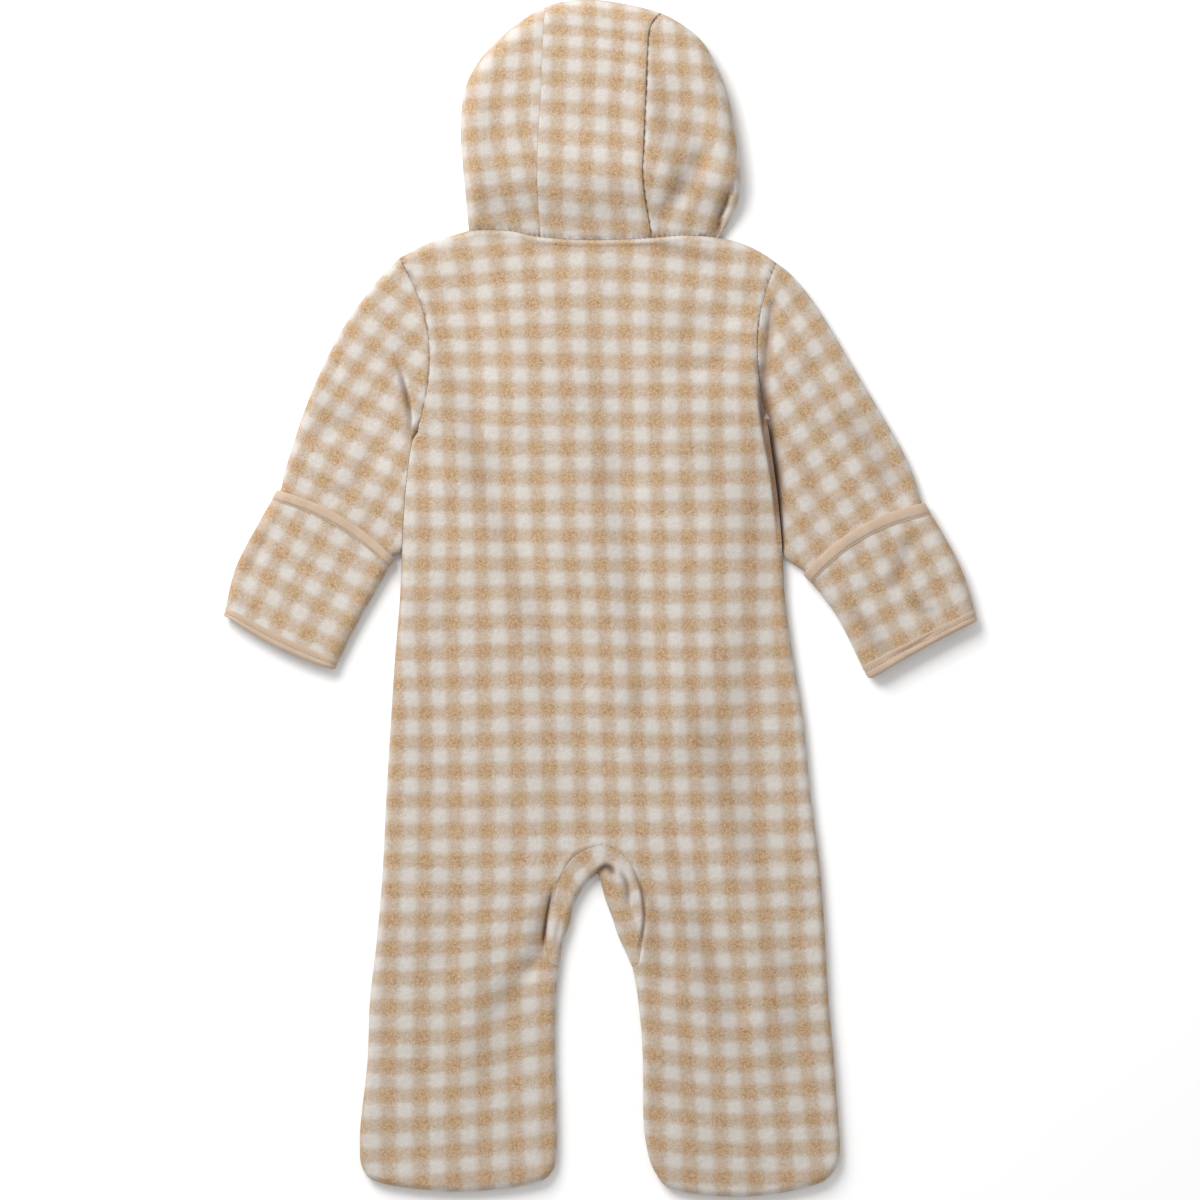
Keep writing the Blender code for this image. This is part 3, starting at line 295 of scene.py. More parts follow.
def nearestOutline(outline, points):
    # Points just outside go back onto the outline. Gives them, their distance to the
    # outline and the direction outwards.
    best, share, gap = nearestPieces(outline["starts"], outline["ends"], points)
    distance = np.linalg.norm(gap, axis=1)
    weight = share[:, None]
    normal = outline["startNormals"][best] * (1 - weight) + outline["endNormals"][best] * weight
    normal /= np.linalg.norm(normal, axis=1)[:, None]
    outside = ((gap * normal).sum(1) > 0.7 * distance) & (distance < 1.5 * mm)
    points = np.where(outside[:, None], points - gap, points)
    distance = np.where(outside, 0.0, distance)
    away = -gap / np.maximum(distance, 1e-9)[:, None]
    # Close to the outline the direction is the outline's own.
    mix = ease(distance / (0.4 * mm))[:, None]
    outward = normal * (1 - mix) + np.where(mix > 0, away, 0.0) * mix
    outward /= np.maximum(np.linalg.norm(outward, axis=1), 1e-9)[:, None]
    return points, distance, outward


def besideCurve(curve, points):
    # For each point: the nearest piece of the curve, the share along it, how far away it
    # is, and whether the point is on the left of the way the curve runs.
    best, share, gap = nearestPieces(curve[:-1], curve[1:], points)
    step = (curve[1:] - curve[:-1])[best]
    onLeft = step[:, 0] * gap[:, 1] - step[:, 1] * gap[:, 0] > 0
    return best, share, np.linalg.norm(gap, axis=1), onLeft


armholeLine, insideLine, shoulderLine, neckLine, hoodSeamLine = (
    smoothed(lines) for lines in (armhole, insideLeg, shoulder, neckSeam, hood["seam"]))
sideLine = smoothed({turn: np.vstack([armhole[turn][-1:], sideSeam[turn]]) for turn in sideSeam})
bodySide = {turn: np.vstack([armholeLine[turn], sideLine[turn][1:]]) for turn in armhole}
wholeNeck = np.vstack([neckLine[1], neckLine[-1][-2::-1]])
hoodLine = smoothCurve(hood["outline"])
gussetPlaces = finePlaces(gussetRows)
gussetCurves = smoothCurve(gussetRows)
gussetMiddle = gussetCrotch * finePieces
for step in range(1, gussetMiddle + 1):
    # Both halves of the seam fall away from the crotch.
    for ahead in (-1, 1):
        place = gussetMiddle + ahead * step
        gussetCurves[place, 1] = min(gussetCurves[place, 1], gussetCurves[place - ahead, 1] - 0.001 * mm)
gussetSeam, gussetEdge = gussetCurves[:, 0:2], gussetCurves[:, 2:4]


def footBottom(turn, shares):
    # From the outer corner of a foot to its inner corner.
    shape = foot[turn]
    shares = np.asarray(shares)
    drop = shape["drop"] * (1 - np.abs(2 * shares - 1) ** footRoundness) ** (1 / footRoundness)
    return np.column_stack([shape["outerX"] + (shape["innerX"] - shape["outerX"]) * shares,
                            suit["footCorner"] + (shape["innerY"] - suit["footCorner"]) * shares - drop])


def sleeveLine(turn, place, shares):
    # One section across a sleeve, bowing towards the shoulder, and its height.
    rows = sleeveRows[turn]
    outerX, outerY, innerX, innerY, bow, height = between(rows, place)
    clear = sleeve["clear"] * ease((rows[sleeve["underarmRow"]][3] - innerY) / (3 * mm))
    limit = atY(bodySide[turn], innerY)[0] - turn * clear
    if place <= sleeve["freeFrom"]:
        innerX = limit
    else:
        innerX = min(innerX, limit) if turn > 0 else max(innerX, limit)
    if place == 0:
        innerX = outerX
    start = np.array([outerX, outerY])
    chord = np.array([innerX, innerY]) - start
    side = turn * np.array([-chord[1], chord[0]]) / max(np.linalg.norm(chord), 0.01 * mm)
    shares = np.asarray(shares)[:, None]
    return start + chord * shares + side * bow * 4 * shares * (1 - shares), height


def sleeveEdge(turn, share):
    return np.array([sleeveLine(turn, place, [share])[0][0] for place in finePlaces(sleeveRows[turn])])


fineShares = np.linspace(0, 1, 33)
outerSleeve = {1: sleeveEdge(1, 0)[::-1], -1: sleeveEdge(-1, 0)}
innerSleeve = {1: sleeveEdge(1, 1)[sleeve["underarmRow"] * finePieces:],
               -1: sleeveEdge(-1, 1)[sleeve["underarmRow"] * finePieces:][::-1]}
suitOutline = makeOutline(
    joinCurves(outerSleeve[1], shoulderLine[1], hoodLine, shoulderLine[-1][::-1], outerSleeve[-1]),
    joinCurves(sideLine[-1], footBottom(-1, fineShares), insideLine[-1][::-1], gussetEdge[::-1],
               insideLine[1], footBottom(1, fineShares)[::-1], sideLine[1][::-1]))
sleeveOutline = {
    1: makeOutline(joinCurves(outerSleeve[1], shoulderLine[1]), innerSleeve[1]),
    -1: makeOutline(joinCurves(shoulderLine[-1][::-1], outerSleeve[-1]), innerSleeve[-1])}

# Folds of the upper side: x1, y1, x2, y2, width, depth. A ridge has a depth below zero.
largeFolds = inMm(
    (-96, 197, -70, 78, 14, 1.5), (-70, 78, -27, -60, 14, 1.7),
    (10, 210, 13, 78, 13, 1.2), (13, 78, 33, -67, 14, 1.5),
    (60, -186, 92, -271, 10, 1.6), (-100, -200, -112, -320, 12, 1.4),
    (60, 172, 100, 197, 10, 1.3), (-33, -203, -46, -243, 6, 2.0),
    (-46, -243, -68, -275, 9, 1.3), (84, 266, 77, 240, 4.5, 3.0),
    (43, 253, 66, 290, 7, 1.8), (66, 290, 58, 328, 7, 1.3),
    (-139, 171, -124, 113, 5, -1.4), (-175, 120, -145, 95, 9, 1.3),
    (140, 150, 165, 95, 9, 1.5), (112.5, 192, 107.5, 150, 4, 2.4),
    (107.5, 150, 112.5, 108, 4, 2.4))

# Creases: depth, painted shade (the colour darkened where shade falls in the crease), width on the
# left and on the right of the way the path runs, then its points. Each fades out at its ends.
upperCreases = [
    # beside the right armhole, and the pleat beside the left one
    (1.8, 0.26, 3.4, 2.2, [(117, 206), (112.5, 184), (110.4, 162), (108.4, 144), (109, 120)]),
    (3.0, 0.75, 5.0, 1.3, [(106.2, 162), (104.9, 136), (107.2, 115), (111, 96), (114.5, 74), (117.3, 48), (120, 16)]),
    # shallow: mostly painted shade over the lit corner at the right underarm
    (0.3, 0.45, 2.2, 2.0, [(105.4, 134), (108.4, 123), (110.2, 116.5), (112, 106)]),
    (1.0, 0.34, 4.0, 3.0, [(107, 154), (108, 134), (111, 118), (114, 100), (117, 76), (119, 56)]),
    (1.2, 0.04, 1.5, 7.0, [(-142, 180), (-133, 152), (-128, 134), (-126.4, 120), (-130, 98)]),
    (2.2, 0.60, 0.8, 2.6, [(-138, 166), (-130.8, 146), (-127.2, 133), (-125.2, 122), (-125.4, 112), (-128, 100)]),
    # the back
    (1.3, 0.07, 8.0, 13.0, [(-106, 190), (-86, 118), (-68, 62), (-42, -14), (-24, -67), (-8, -130)]),
    (1.2, 0.06, 8.0, 12.0, [(-6, 205), (7, 90), (26, -14), (34, -96), (44, -150)]),
    # broad: these two darken the right side of the back with painted shade
    (1.4, 0.14, 14.0, 20.0, [(100, 150), (108, 84), (102, 0), (92, -90), (104, -170)]),
    (1.2, 0.12, 10.0, 16.0, [(58, -50), (76, -106), (98, -158), (110, -215)]),
    (1.2, 0.05, 5.0, 8.0, [(98, 172), (74, 154), (40, 150)]),
    (0.8, 0.04, 5.0, 9.0, [(88, 130), (78, 100), (80, 60)]),
    (0.7, 0.04, 7.0, 10.0, [(-112, 60), (-104, -10), (-112, -90), (-104, -160)]),
    (1.5, 0.16, 3.0, 6.0, [(30, 231), (58, 227), (92, 218)]),
    (0.6, 0.14, 0.9, 1.2, [(-62, 234.5), (-34, 232.8), (0, 232.2), (34, 232.8), (72, 233)]),
    (0.6, 0.04, 4.0, 6.0, [(-96, 225), (-72, 214), (-50, 214)]),
    # around the crotch
    (2.6, 0.66, 0.6, 1.4, [(-29.5, -184), (-33, -198), (-35.6, -212), (-37, -224), (-40, -238)]),
    (1.3, 0.24, 2.0, 4.0, [(-34, -205), (-37, -222), (-41, -236), (-50, -252)]),
    (0.9, 0.07, 3.0, 9.0, [(-30, -188), (-38, -218), (-46, -246), (-66, -276)]),
    (2.0, 0.46, 0.9, 1.6, [(19, -174), (27, -190), (29.2, -206), (28, -222), (24.5, -238)]),
    (1.0, 0.12, 7.0, 5.0, [(32, -188), (38, -212), (38, -240), (44, -262)]),
    (1.6, 0.55, 1.2, 2.2, [(12, -177), (17.2, -187), (18.4, -196), (18, -207)]),
    (2.4, 0.85, 1.4, 3.0, [(-5, -186), (-0.5, -179), (4, -176.6), (8, -179), (10, -185)]),
    (0.8, 0.28, 1.3, 2.2, [(-27, -211), (-28.6, -221), (-30, -231)]),
    # legs
    (1.3, 0.08, 9.0, 13.0, [(58, -196), (72, -240), (86, -280), (98, -330)]),
    (1.4, 0.12, 12.0, 15.0, [(-48, -246), (-68, -285), (-80, -340)]),
    (0.8, 0.10, 10.0, 14.0, [(112, -200), (124, -275), (118, -345)]),
    # sleeves and flaps
    (1.9, 0.16, 5.0, 12.0, [(158, 134), (182, 98), (202, 58)]),
    (1.1, 0.08, 5.0, 7.0, [(126, 112), (141, 80), (146, 48)]),
    (1.2, 0.06, 4.0, 7.0, [(-148, 134), (-172, 112), (-198, 104)]),
    (0.9, 0.05, 5.0, 7.0, [(-144, 110), (-160, 78), (-184, 60)]),
    (0.8, 0.04, 4.0, 9.0, [(-150, 205), (-168, 170), (-178, 140)]),
    (1.7, 0.14, 3.0, 7.0, [(-216, 48), (-227, 28), (-235, 6)]),
    (1.8, 0.24, 3.0, 7.0, [(209, 46), (201, 24), (190, -2)]),
    (1.3, 0.22, 2.6, 4.5, [(203, 4), (213, -6), (226, -10)]),
    (1.5, 0.20, 4.0, 6.0, [(162, 0), (182, -26), (198, -46)]),
    (1.0, 0.46, 1.0, 1.0, [(180, -44), (196, -36), (206, -31), (217, -24.5), (226, -19)]),
    # hood
    (2.6, 0.13, 10.0, 9.0, [(42, 356), (46, 320), (52, 286), (58, 248)]),
    (2.2, 0.16, 4.0, 7.0, [(72, 306), (61, 278), (44, 250)]),
    (1.3, 0.10, 4.0, 6.0, [(76, 336), (66, 316), (60, 290)]),
    (2.6, 0.62, 0.8, 2.0, [(90, 280), (86, 267), (81, 256), (78.6, 246), (78, 234)]),
    (1.0, 0.04, 6.0, 9.0, [(-64, 330), (-70, 296), (-66, 262)]),
]
underCreases = [
    (0.7, 0.05, 6.0, 9.0, [(-92, 180), (-70, 90), (-40, -10), (-38, -90)]),
    (0.7, 0.05, 9.0, 6.0, [(84, 176), (60, 80), (38, -20), (42, -110)]),
    (0.8, 0.06, 5.0, 8.0, [(-52, -190), (-84, -262), (-92, -330)]),
    (0.8, 0.06, 8.0, 5.0, [(56, -188), (82, -260), (96, -336)]),
    (0.8, 0.06, 4.0, 7.0, [(-128, 150), (-158, 96), (-190, 30)]),
    (0.8, 0.06, 7.0, 4.0, [(122, 150), (160, 92), (196, 22)]),
    (0.6, 0.05, 5.0, 8.0, [(-104, 206), (-64, 196), (-28, 200)]),
    (0.6, 0.05, 8.0, 5.0, [(98, 204), (60, 190), (26, 196)]),
]


def foldDepth(points):
    depth = np.zeros(len(points))
    for x1, y1, x2, y2, width, deep in largeFolds:
        start = np.array([x1, y1])
        line = np.array([x2, y2]) - start
        share = np.clip((points - start) @ line / (line @ line), 0.0, 1.0)
        away = np.linalg.norm(points - start - share[:, None] * line, axis=1)
        depth += deep * np.exp(-(away / width) ** 2)
    return depth


def creased(points, creases, fadeShare=0.3):
    # Depth and shade of all the creases at each point, as two columns.
    total = np.zeros((len(points), 2))
    for deep, shade, widthLeft, widthRight, path in creases:
        curve = smoothCurve(inMm(*path), 8)
        reach = 3 * max(widthLeft, widthRight) * mm
        close = np.all((points > curve.min(0) - reach) & (points < curve.max(0) + reach), axis=1)
        if not close.any():
            continue
        best, share, away, onLeft = besideCurve(curve, points[close])
        width = np.where(onLeft, widthLeft, widthRight) * mm
        place = (best + share) / (len(curve) - 1)
        fade = ease(place / fadeShare) * ease((1 - place) / fadeShare)
        total[close] += (fade * np.exp(-(away / width) ** 2))[:, None] * [deep * mm, shade]
    return total


def lumps(points, size, seed):
    # Slow uneven swelling of a soft surface, about -1 to 1.
    chance = np.random.default_rng(seed)
    total = np.zeros(len(points))
    for _ in range(8):
        angle, phase, wave = chance.uniform(0, math.pi), chance.uniform(0, 6.28), size * chance.uniform(0.6, 1.7)
        along = (points @ np.array([math.cos(angle), math.sin(angle)])) / wave * 6.28
        across = (points @ np.array([-math.sin(angle), math.cos(angle)])) / (wave * 1.7) * 6.28
        total += np.sin(along + phase + 1.1 * np.sin(across + 2 * phase))
    return total / 3.6


# How the cloth lies along a seam, in mm: how deep it is drawn down, the painted shade that
# darkens it there, how wide on the left and on the right of the way the line runs, how far it
# swells on each side, and the distance and width of that swelling.
seamLooks = {
    "leftArmhole": (0.5, 0.26, 0.5, 0.8, 0.4, 0.2, 3.6, 2.2),
    "rightArmhole": (0.5, 0.26, 0.7, 0.5, 0.2, 0.6, 4.0, 2.6),
    "gusset": (0.08, 0.0, 0.7, 0.9, 0.5, 0.1, 2.2, 1.6),
    "neck": (1.5, 0.20, 2.4, 0.7, 0.0, 0.75, 2.7, 1.9),
    "hoodLeft": (0.1, 0.03, 0.6, 0.6, 0.2, 0.05, 3.0, 2.2),
    "hoodRight": (1.0, 0.46, 0.8, 0.4, 0.1, 0.6, 3.0, 2.0),
}
stitchWave = 1.9                # radians to a mm of seam: a stitch every 3.3 mm


def sewn(points, seams):
    # Drawn down at each seam and puffed up unevenly beside it, with a small dent at each
    # stitch. Gives depth and painted shade as two columns; the painted shade comes in dashes, one at each stitch.
    total = np.zeros((len(points), 2))
    for curve, look in seams:
        deep, shade, widthLeft, widthRight, puffLeft, puffRight, puffAt, puffWidth = seamLooks[look]
        best, share, away, onLeft = besideCurve(curve, points)
        away = away / mm
        steps = np.linalg.norm(np.diff(curve, axis=0), axis=1)
        run = (runAlong(curve)[best] + share * steps[best]) / mm
        uneven = 1 + 0.3 * np.sin(run / 9 + deep) + 0.2 * np.sin(run / 3.7 + 2 * deep)
        drawn = 1 + 0.25 * np.sin(run * stitchWave) + 0.2 * np.sin(run / 6 + puffLeft)
        near = drawn * np.exp(-(away / np.where(onLeft, widthLeft, widthRight)) ** 2)
        puff = np.where(onLeft, puffLeft, puffRight) * uneven * np.exp(-((away - puffAt) / puffWidth) ** 2)
        dashed = 1 + 0.8 * np.sin(run * stitchWave)
        total += np.column_stack([(deep * near - puff) * mm, shade * near * dashed])
    return total


# Laying cloth: its outer face, its normals, and where each point is on the flat cloth

def besideBody(points, turn):
    # 1 where the sleeve lies against the side of the body, 0 elsewhere.
    line, x, y = sideLine[turn], points[:, 0], points[:, 1]
    gap = np.abs(x - np.interp(-y, -line[:, 1], line[:, 0]))
    return (ease((y - valley["from"]) / valley["fadeBelow"])
            * ease((armhole[turn][-1, 1] - y) / valley["fadeAbove"])
            * (1 - ease((gap - valley["reach"]) / valley["reach"])))


def startRelief(points, size, seed):
    # Depth and shade as two columns.
    return np.column_stack([suit["lumps"] * lumps(points, size, seed), np.zeros(len(points))])


def layCloth(points, outline, height, roll, top, relief, lift):
    # The relief gives depth and shade. The lift raises the edge, so that it hardly rolls
    # down there.
    relief, shade = relief.T
    points, distance, outward = nearestOutline(outline, points)
    distance = np.where(distance < 0.05 * mm, 0.0, distance)
    near = np.clip(distance / roll, 0.0, 1.0)
    turn = np.arccos(1 - near)
    rise = np.sin(turn)
    middle = height / 2 + lift * valley["raised"] * height
    if top:
        z = middle + (height - middle - relief) * rise
    else:
        z = middle * (1 - rise) + np.maximum(relief, 0.0) * rise
    normal = np.column_stack([outward * np.cos(turn)[:, None], (1 if top else -1) * rise])
    excess = np.where(near < 1, roll * (np.pi / 2 - turn) - (roll - distance), 0.0)
    return {"outer": np.column_stack([points, z]), "normal": normal,
            "flat": points + outward * excess[:, None],
            "shade": np.clip(shade, 0.0, suit["deepestShade"])}


def shaped(laid, shape):
    return {key: value.reshape(shape[0], shape[1], -1) for key, value in laid.items()}


def laySuit(grid, top, seams=()):
    grid = np.asarray(grid)
    points = grid.reshape(-1, 2)
    rise = ease((points[:, 1] - suit["riseFrom"]) / suit["riseLength"])
    height = suit["height"] + (suit["hoodHeight"] - suit["height"]) * rise
    roll = suit["roll"] + (suit["hoodRoll"] - suit["roll"]) * rise
    relief = startRelief(points, suit["lumpSize"], 7)
    if top:
        relief[:, 0] += foldDepth(points)
        relief += creased(points, upperCreases) + sewn(points, seams)
    else:
        # Flat beside the zip and under the hood.
        clear = ease((np.abs(points[:, 0]) - 13 * mm) / (8 * mm)) * (1 - rise)
        relief = (relief + creased(points, underCreases)) * clear[:, None]
    lift = besideBody(points, 1) + besideBody(points, -1)
    return shaped(layCloth(points, suitOutline, height, roll, top, relief, lift), grid.shape)


# Building walls of cloth

def checksOf(chart):
    # A smooth map (thin-plate spline) from a place on the cloth to its column and row of
    # checks. A chart gives the column, the row and the place in mm of some dark squares.
    chart = np.array(chart, dtype=float)
    known, wanted = chart[:, 2:4], chart[:, 0:2]

    def bend(distance):
        return np.where(distance > 0, distance ** 2 * np.log(np.maximum(distance, 1e-9)), 0.0)

    count = len(known)
    matrix = np.zeros((count + 3, count + 3))
    matrix[:count, :count] = bend(np.linalg.norm(known[:, None] - known[None], axis=2)) + np.eye(count) * 60
    matrix[:count, count:] = np.column_stack([np.ones(count), known])
    matrix[count:, :count] = matrix[:count, count:].T
    weights = np.linalg.solve(matrix, np.vstack([wanted, np.zeros((3, 2))]))

    def mapped(points):
        points = points / mm
        near = bend(np.linalg.norm(points[:, None] - known[None], axis=2))
        return near @ weights[:count] + np.column_stack([np.ones(len(points)), points]) @ weights[count:]

    return mapped


def straightChecks(columnAt, rowAt, across=19.8, down=19.3, lean=0.0):
    # Checks on the straight grain, turned by a small angle in degrees.
    angle = math.radians(lean)

    def mapped(points):
        x, y = points[:, 0] / mm - columnAt, points[:, 1] / mm - rowAt
        return np.column_stack([(x * math.cos(angle) + y * math.sin(angle)) / across,
                                (x * math.sin(angle) - y * math.cos(angle)) / down])

    return mapped


def joinPatches(patches):
    # One sheet of points from the patches, and its faces, which follow the normals.
    sheet = {key: np.vstack([patch[key].reshape(-1, patch[key].shape[-1]) for patch in patches])
             for key in ("outer", "normal", "flat", "shade")}
    keys = np.round(sheet["outer"] / (0.01 * mm) + 0.137).astype(np.int64)
    firsts, numbers = np.unique(keys, axis=0, return_index=True, return_inverse=True)[1:]
    numbers = numbers.reshape(-1)
    sheet = {key: value[firsts] for key, value in sheet.items()}
    sheet["normal"] = sheet["normal"] / np.linalg.norm(sheet["normal"], axis=1)[:, None]
    quads, start = [], 0
    for patch in patches:
        rows, columns = patch["outer"].shape[:2]
        grid = numbers[start:start + rows * columns].reshape(rows, columns)
        start += rows * columns
        corners = [grid[:-1, :-1], grid[1:, :-1], grid[1:, 1:], grid[:-1, 1:]]
        quads.append(np.stack(corners, axis=2).reshape(-1, 4))
    quads = np.vstack(quads)
    whole = np.all(quads != np.roll(quads, -1, axis=1), axis=1)
    faces = [list(face) for face in quads[whole]]
    for quad in quads[~whole]:
        face = [p for p, q in zip(quad, np.roll(quad, -1)) if p != q]
        if len(face) > 2:
            faces.append(face)
    first, second, third = (sheet["outer"][quads[whole][:, corner]] for corner in range(3))
    facing = np.cross(second - first, third - first)
    if (facing * sheet["normal"][quads[whole][:, 0]]).sum() < 0:
        faces = [face[::-1] for face in faces]
    return sheet, faces


def edgeOf(sheet, faces):
    # The open edge of a sheet, and at each of its points the direction into the cloth and
    # how far a point has to go that way for each metre of inset.
    outer, normal = sheet["outer"], sheet["normal"]
    pairs = np.array([pair for face in faces for pair in zip(face, face[1:] + face[:1])])
    count = len(outer)
    border = pairs[~np.isin(pairs[:, 0] * count + pairs[:, 1], pairs[:, 1] * count + pairs[:, 0])]
    inward, hits = np.zeros_like(outer), np.zeros(count)
    step = outer[border[:, 1]] - outer[border[:, 0]]
    for end in (0, 1):
        side = np.cross(normal[border[:, end]], step)
        side /= np.maximum(np.linalg.norm(side, axis=1), 1e-12)[:, None]
        np.add.at(inward, border[:, end], side)
        np.add.at(hits, border[:, end], 1)
    length = np.maximum(np.linalg.norm(inward, axis=1), 1e-9)
    inward /= length[:, None]
    reach = np.where(hits == 0, 0.0, 1.0) / np.maximum(0.5, length / np.maximum(hits, 1))
    return border, inward, reach


def buildCloth(name, patches, material, checks=None, thickness=suit["wall"], gap=suit["seamGap"]):
    # Joins patches into one sheet, gives it a wall, and closes its edges.
    sheet, faces = joinPatches(patches)
    border, inward, reach = edgeOf(sheet, faces)
    faceOut = sheet["outer"] + inward * (reach * gap / 2)[:, None]
    faceIn = faceOut - sheet["normal"] * thickness
    count = len(faceOut)
    allFaces = faces + [[p + count for p in reversed(face)] for face in faces]
    allFaces += [[end, start, start + count, end + count] for start, end in border]
    mesh = bpy.data.meshes.new(name)
    mesh.from_pydata(np.vstack([faceOut, faceIn]).tolist(), [], [[int(p) for p in face] for face in allFaces])
    # Each point keeps the painted shade of the creases and seams, which darkens the fleece's colour.
    paintedShade = mesh.attributes.new("paintedShade", "FLOAT", "POINT")
    paintedShade.data.foreach_set("value", np.tile(sheet["shade"][:, 0], 2).astype(np.float32))
    if checks is not None:
        layer = mesh.uv_layers.new(name="checks")
        loops = np.empty(len(mesh.loops), np.int32)
        mesh.loops.foreach_get("vertex_index", loops)
        layer.data.foreach_set("uv", checks(np.tile(sheet["flat"], (2, 1)))[loops].astype(np.float32).ravel())
    return finishPiece(name, mesh, material, sharp=55)


def finishPiece(name, mesh, material, sharp=40):
    mesh.shade_smooth()
    mesh.set_sharp_from_angle(angle=math.radians(sharp))
    mesh.materials.clear()
    mesh.materials.append(material)
    piece = bpy.data.objects.new(name, mesh)
    bpy.context.collection.objects.link(piece)
    return piece


# Materials

def tone(red, green, blue):
    # A colour read from a picture, 0 to 255, as linear values.
    def straight(value):
        value /= 255
        return value / 12.92 if value <= 0.04045 else ((value + 0.055) / 1.055) ** 2.4
    return (straight(red), straight(green), straight(blue), 1.0)


def addNode(tree, kind, inputs=(), **settings):
    # A node with its settings, and a value or a link for each of the named inputs.
    node = tree.nodes.new(kind)
    for key, value in settings.items():
        setattr(node, key, value)
    for key, value in dict(inputs).items():
        if isinstance(value, bpy.types.NodeSocket):
            tree.links.new(value, node.inputs[key])
        else:
            node.inputs[key].default_value = value
    return node


def newMaterial(name, roughness, metallic=0.0, sheen=0.0, specular=0.5):
    material = bpy.data.materials.new(name)
    material.use_nodes = True
    tree = material.node_tree
    shader = tree.nodes["Principled BSDF"]
    shader.inputs["Roughness"].default_value = roughness
    shader.inputs["Metallic"].default_value = metallic
    shader.inputs["Specular IOR Level"].default_value = specular
    if sheen:
        shader.inputs["Sheen Weight"].default_value = sheen
        shader.inputs["Sheen Roughness"].default_value = 0.6
    place = addNode(tree, "ShaderNodeTexCoord").outputs["Object"]
    return material, tree, shader, place


def addMath(tree, operation, *values):
    return addNode(tree, "ShaderNodeMath", enumerate(values), operation=operation).outputs[0]


def addNoise(tree, place, size, detail=2.0, rough=0.5, distortion=0.0):
    # Noise whose features are about size metres wide.
    return addNode(tree, "ShaderNodeTexNoise", {
        "Scale": 1.0 / size, "Detail": detail, "Roughness": rough, "Distortion": distortion,
        "Vector": place}).outputs[0]


def addBump(tree, shader, height, distance, strength=1.0, before=None):
    bump = addNode(tree, "ShaderNodeBump", {"Distance": distance, "Strength": strength, "Height": height})
    if before is not None:
        tree.links.new(before, bump.inputs["Normal"])
    tree.links.new(bump.outputs["Normal"], shader.inputs["Normal"])
    return bump.outputs["Normal"]


def addRamp(tree, value, stops):
    ramp = addNode(tree, "ShaderNodeValToRGB", {0: value})
    elements = ramp.color_ramp.elements
    while len(elements) < len(stops):
        elements.new(0.5)
    for element, (place, colour) in zip(elements, stops):
        element.position = place
        element.color = colour
    return ramp.outputs[0]


def addSmooth(tree, value, low, high, start=0.0, end=1.0):
    # A smooth step from start to end while the value goes from low to high.
    return addNode(tree, "ShaderNodeMapRange", {
        "Value": value, "From Min": low, "From Max": high, "To Min": start, "To Max": end},
        interpolation_type="SMOOTHSTEP").outputs[0]


def addMix(tree, factor, first, second):
    mix = addNode(tree, "ShaderNodeMix", data_type="RGBA")
    for key, value in (("Factor", factor), ("A", first), ("B", second)):
        if isinstance(value, bpy.types.NodeSocket):
            tree.links.new(value, mix.inputs[key])
        else:
            mix.inputs[key].default_value = value
    return mix.outputs["Result"]


fleeceLook = {
    # cream, half and tan, at the tips of the nap and down between the curls
    "tips": (tone(200, 194, 187), tone(190, 173, 156), tone(189, 162, 130)),
    "roots": (tone(191, 184, 176), tone(169, 151, 132), tone(151, 120, 87)),
    # the dark brown of painted shade, mixed into the colour in creases and at seams
    "paintedShadeTone": tone(84, 50, 26),
    "edge": 0.14,               # softness of a check's edge, as a share of the repeat
    "ragged": 0.13,             # how far the nap blurs it, as a share of the repeat
    "curl": 1.25 * mm,          # size of the curls of the nap
    "curlDepth": 0.6 * mm,
    "clump": 4.5 * mm,
    "clumpDepth": 0.9 * mm,
    "patch": 60.0 * mm,         # slow unevenness of the colour
}


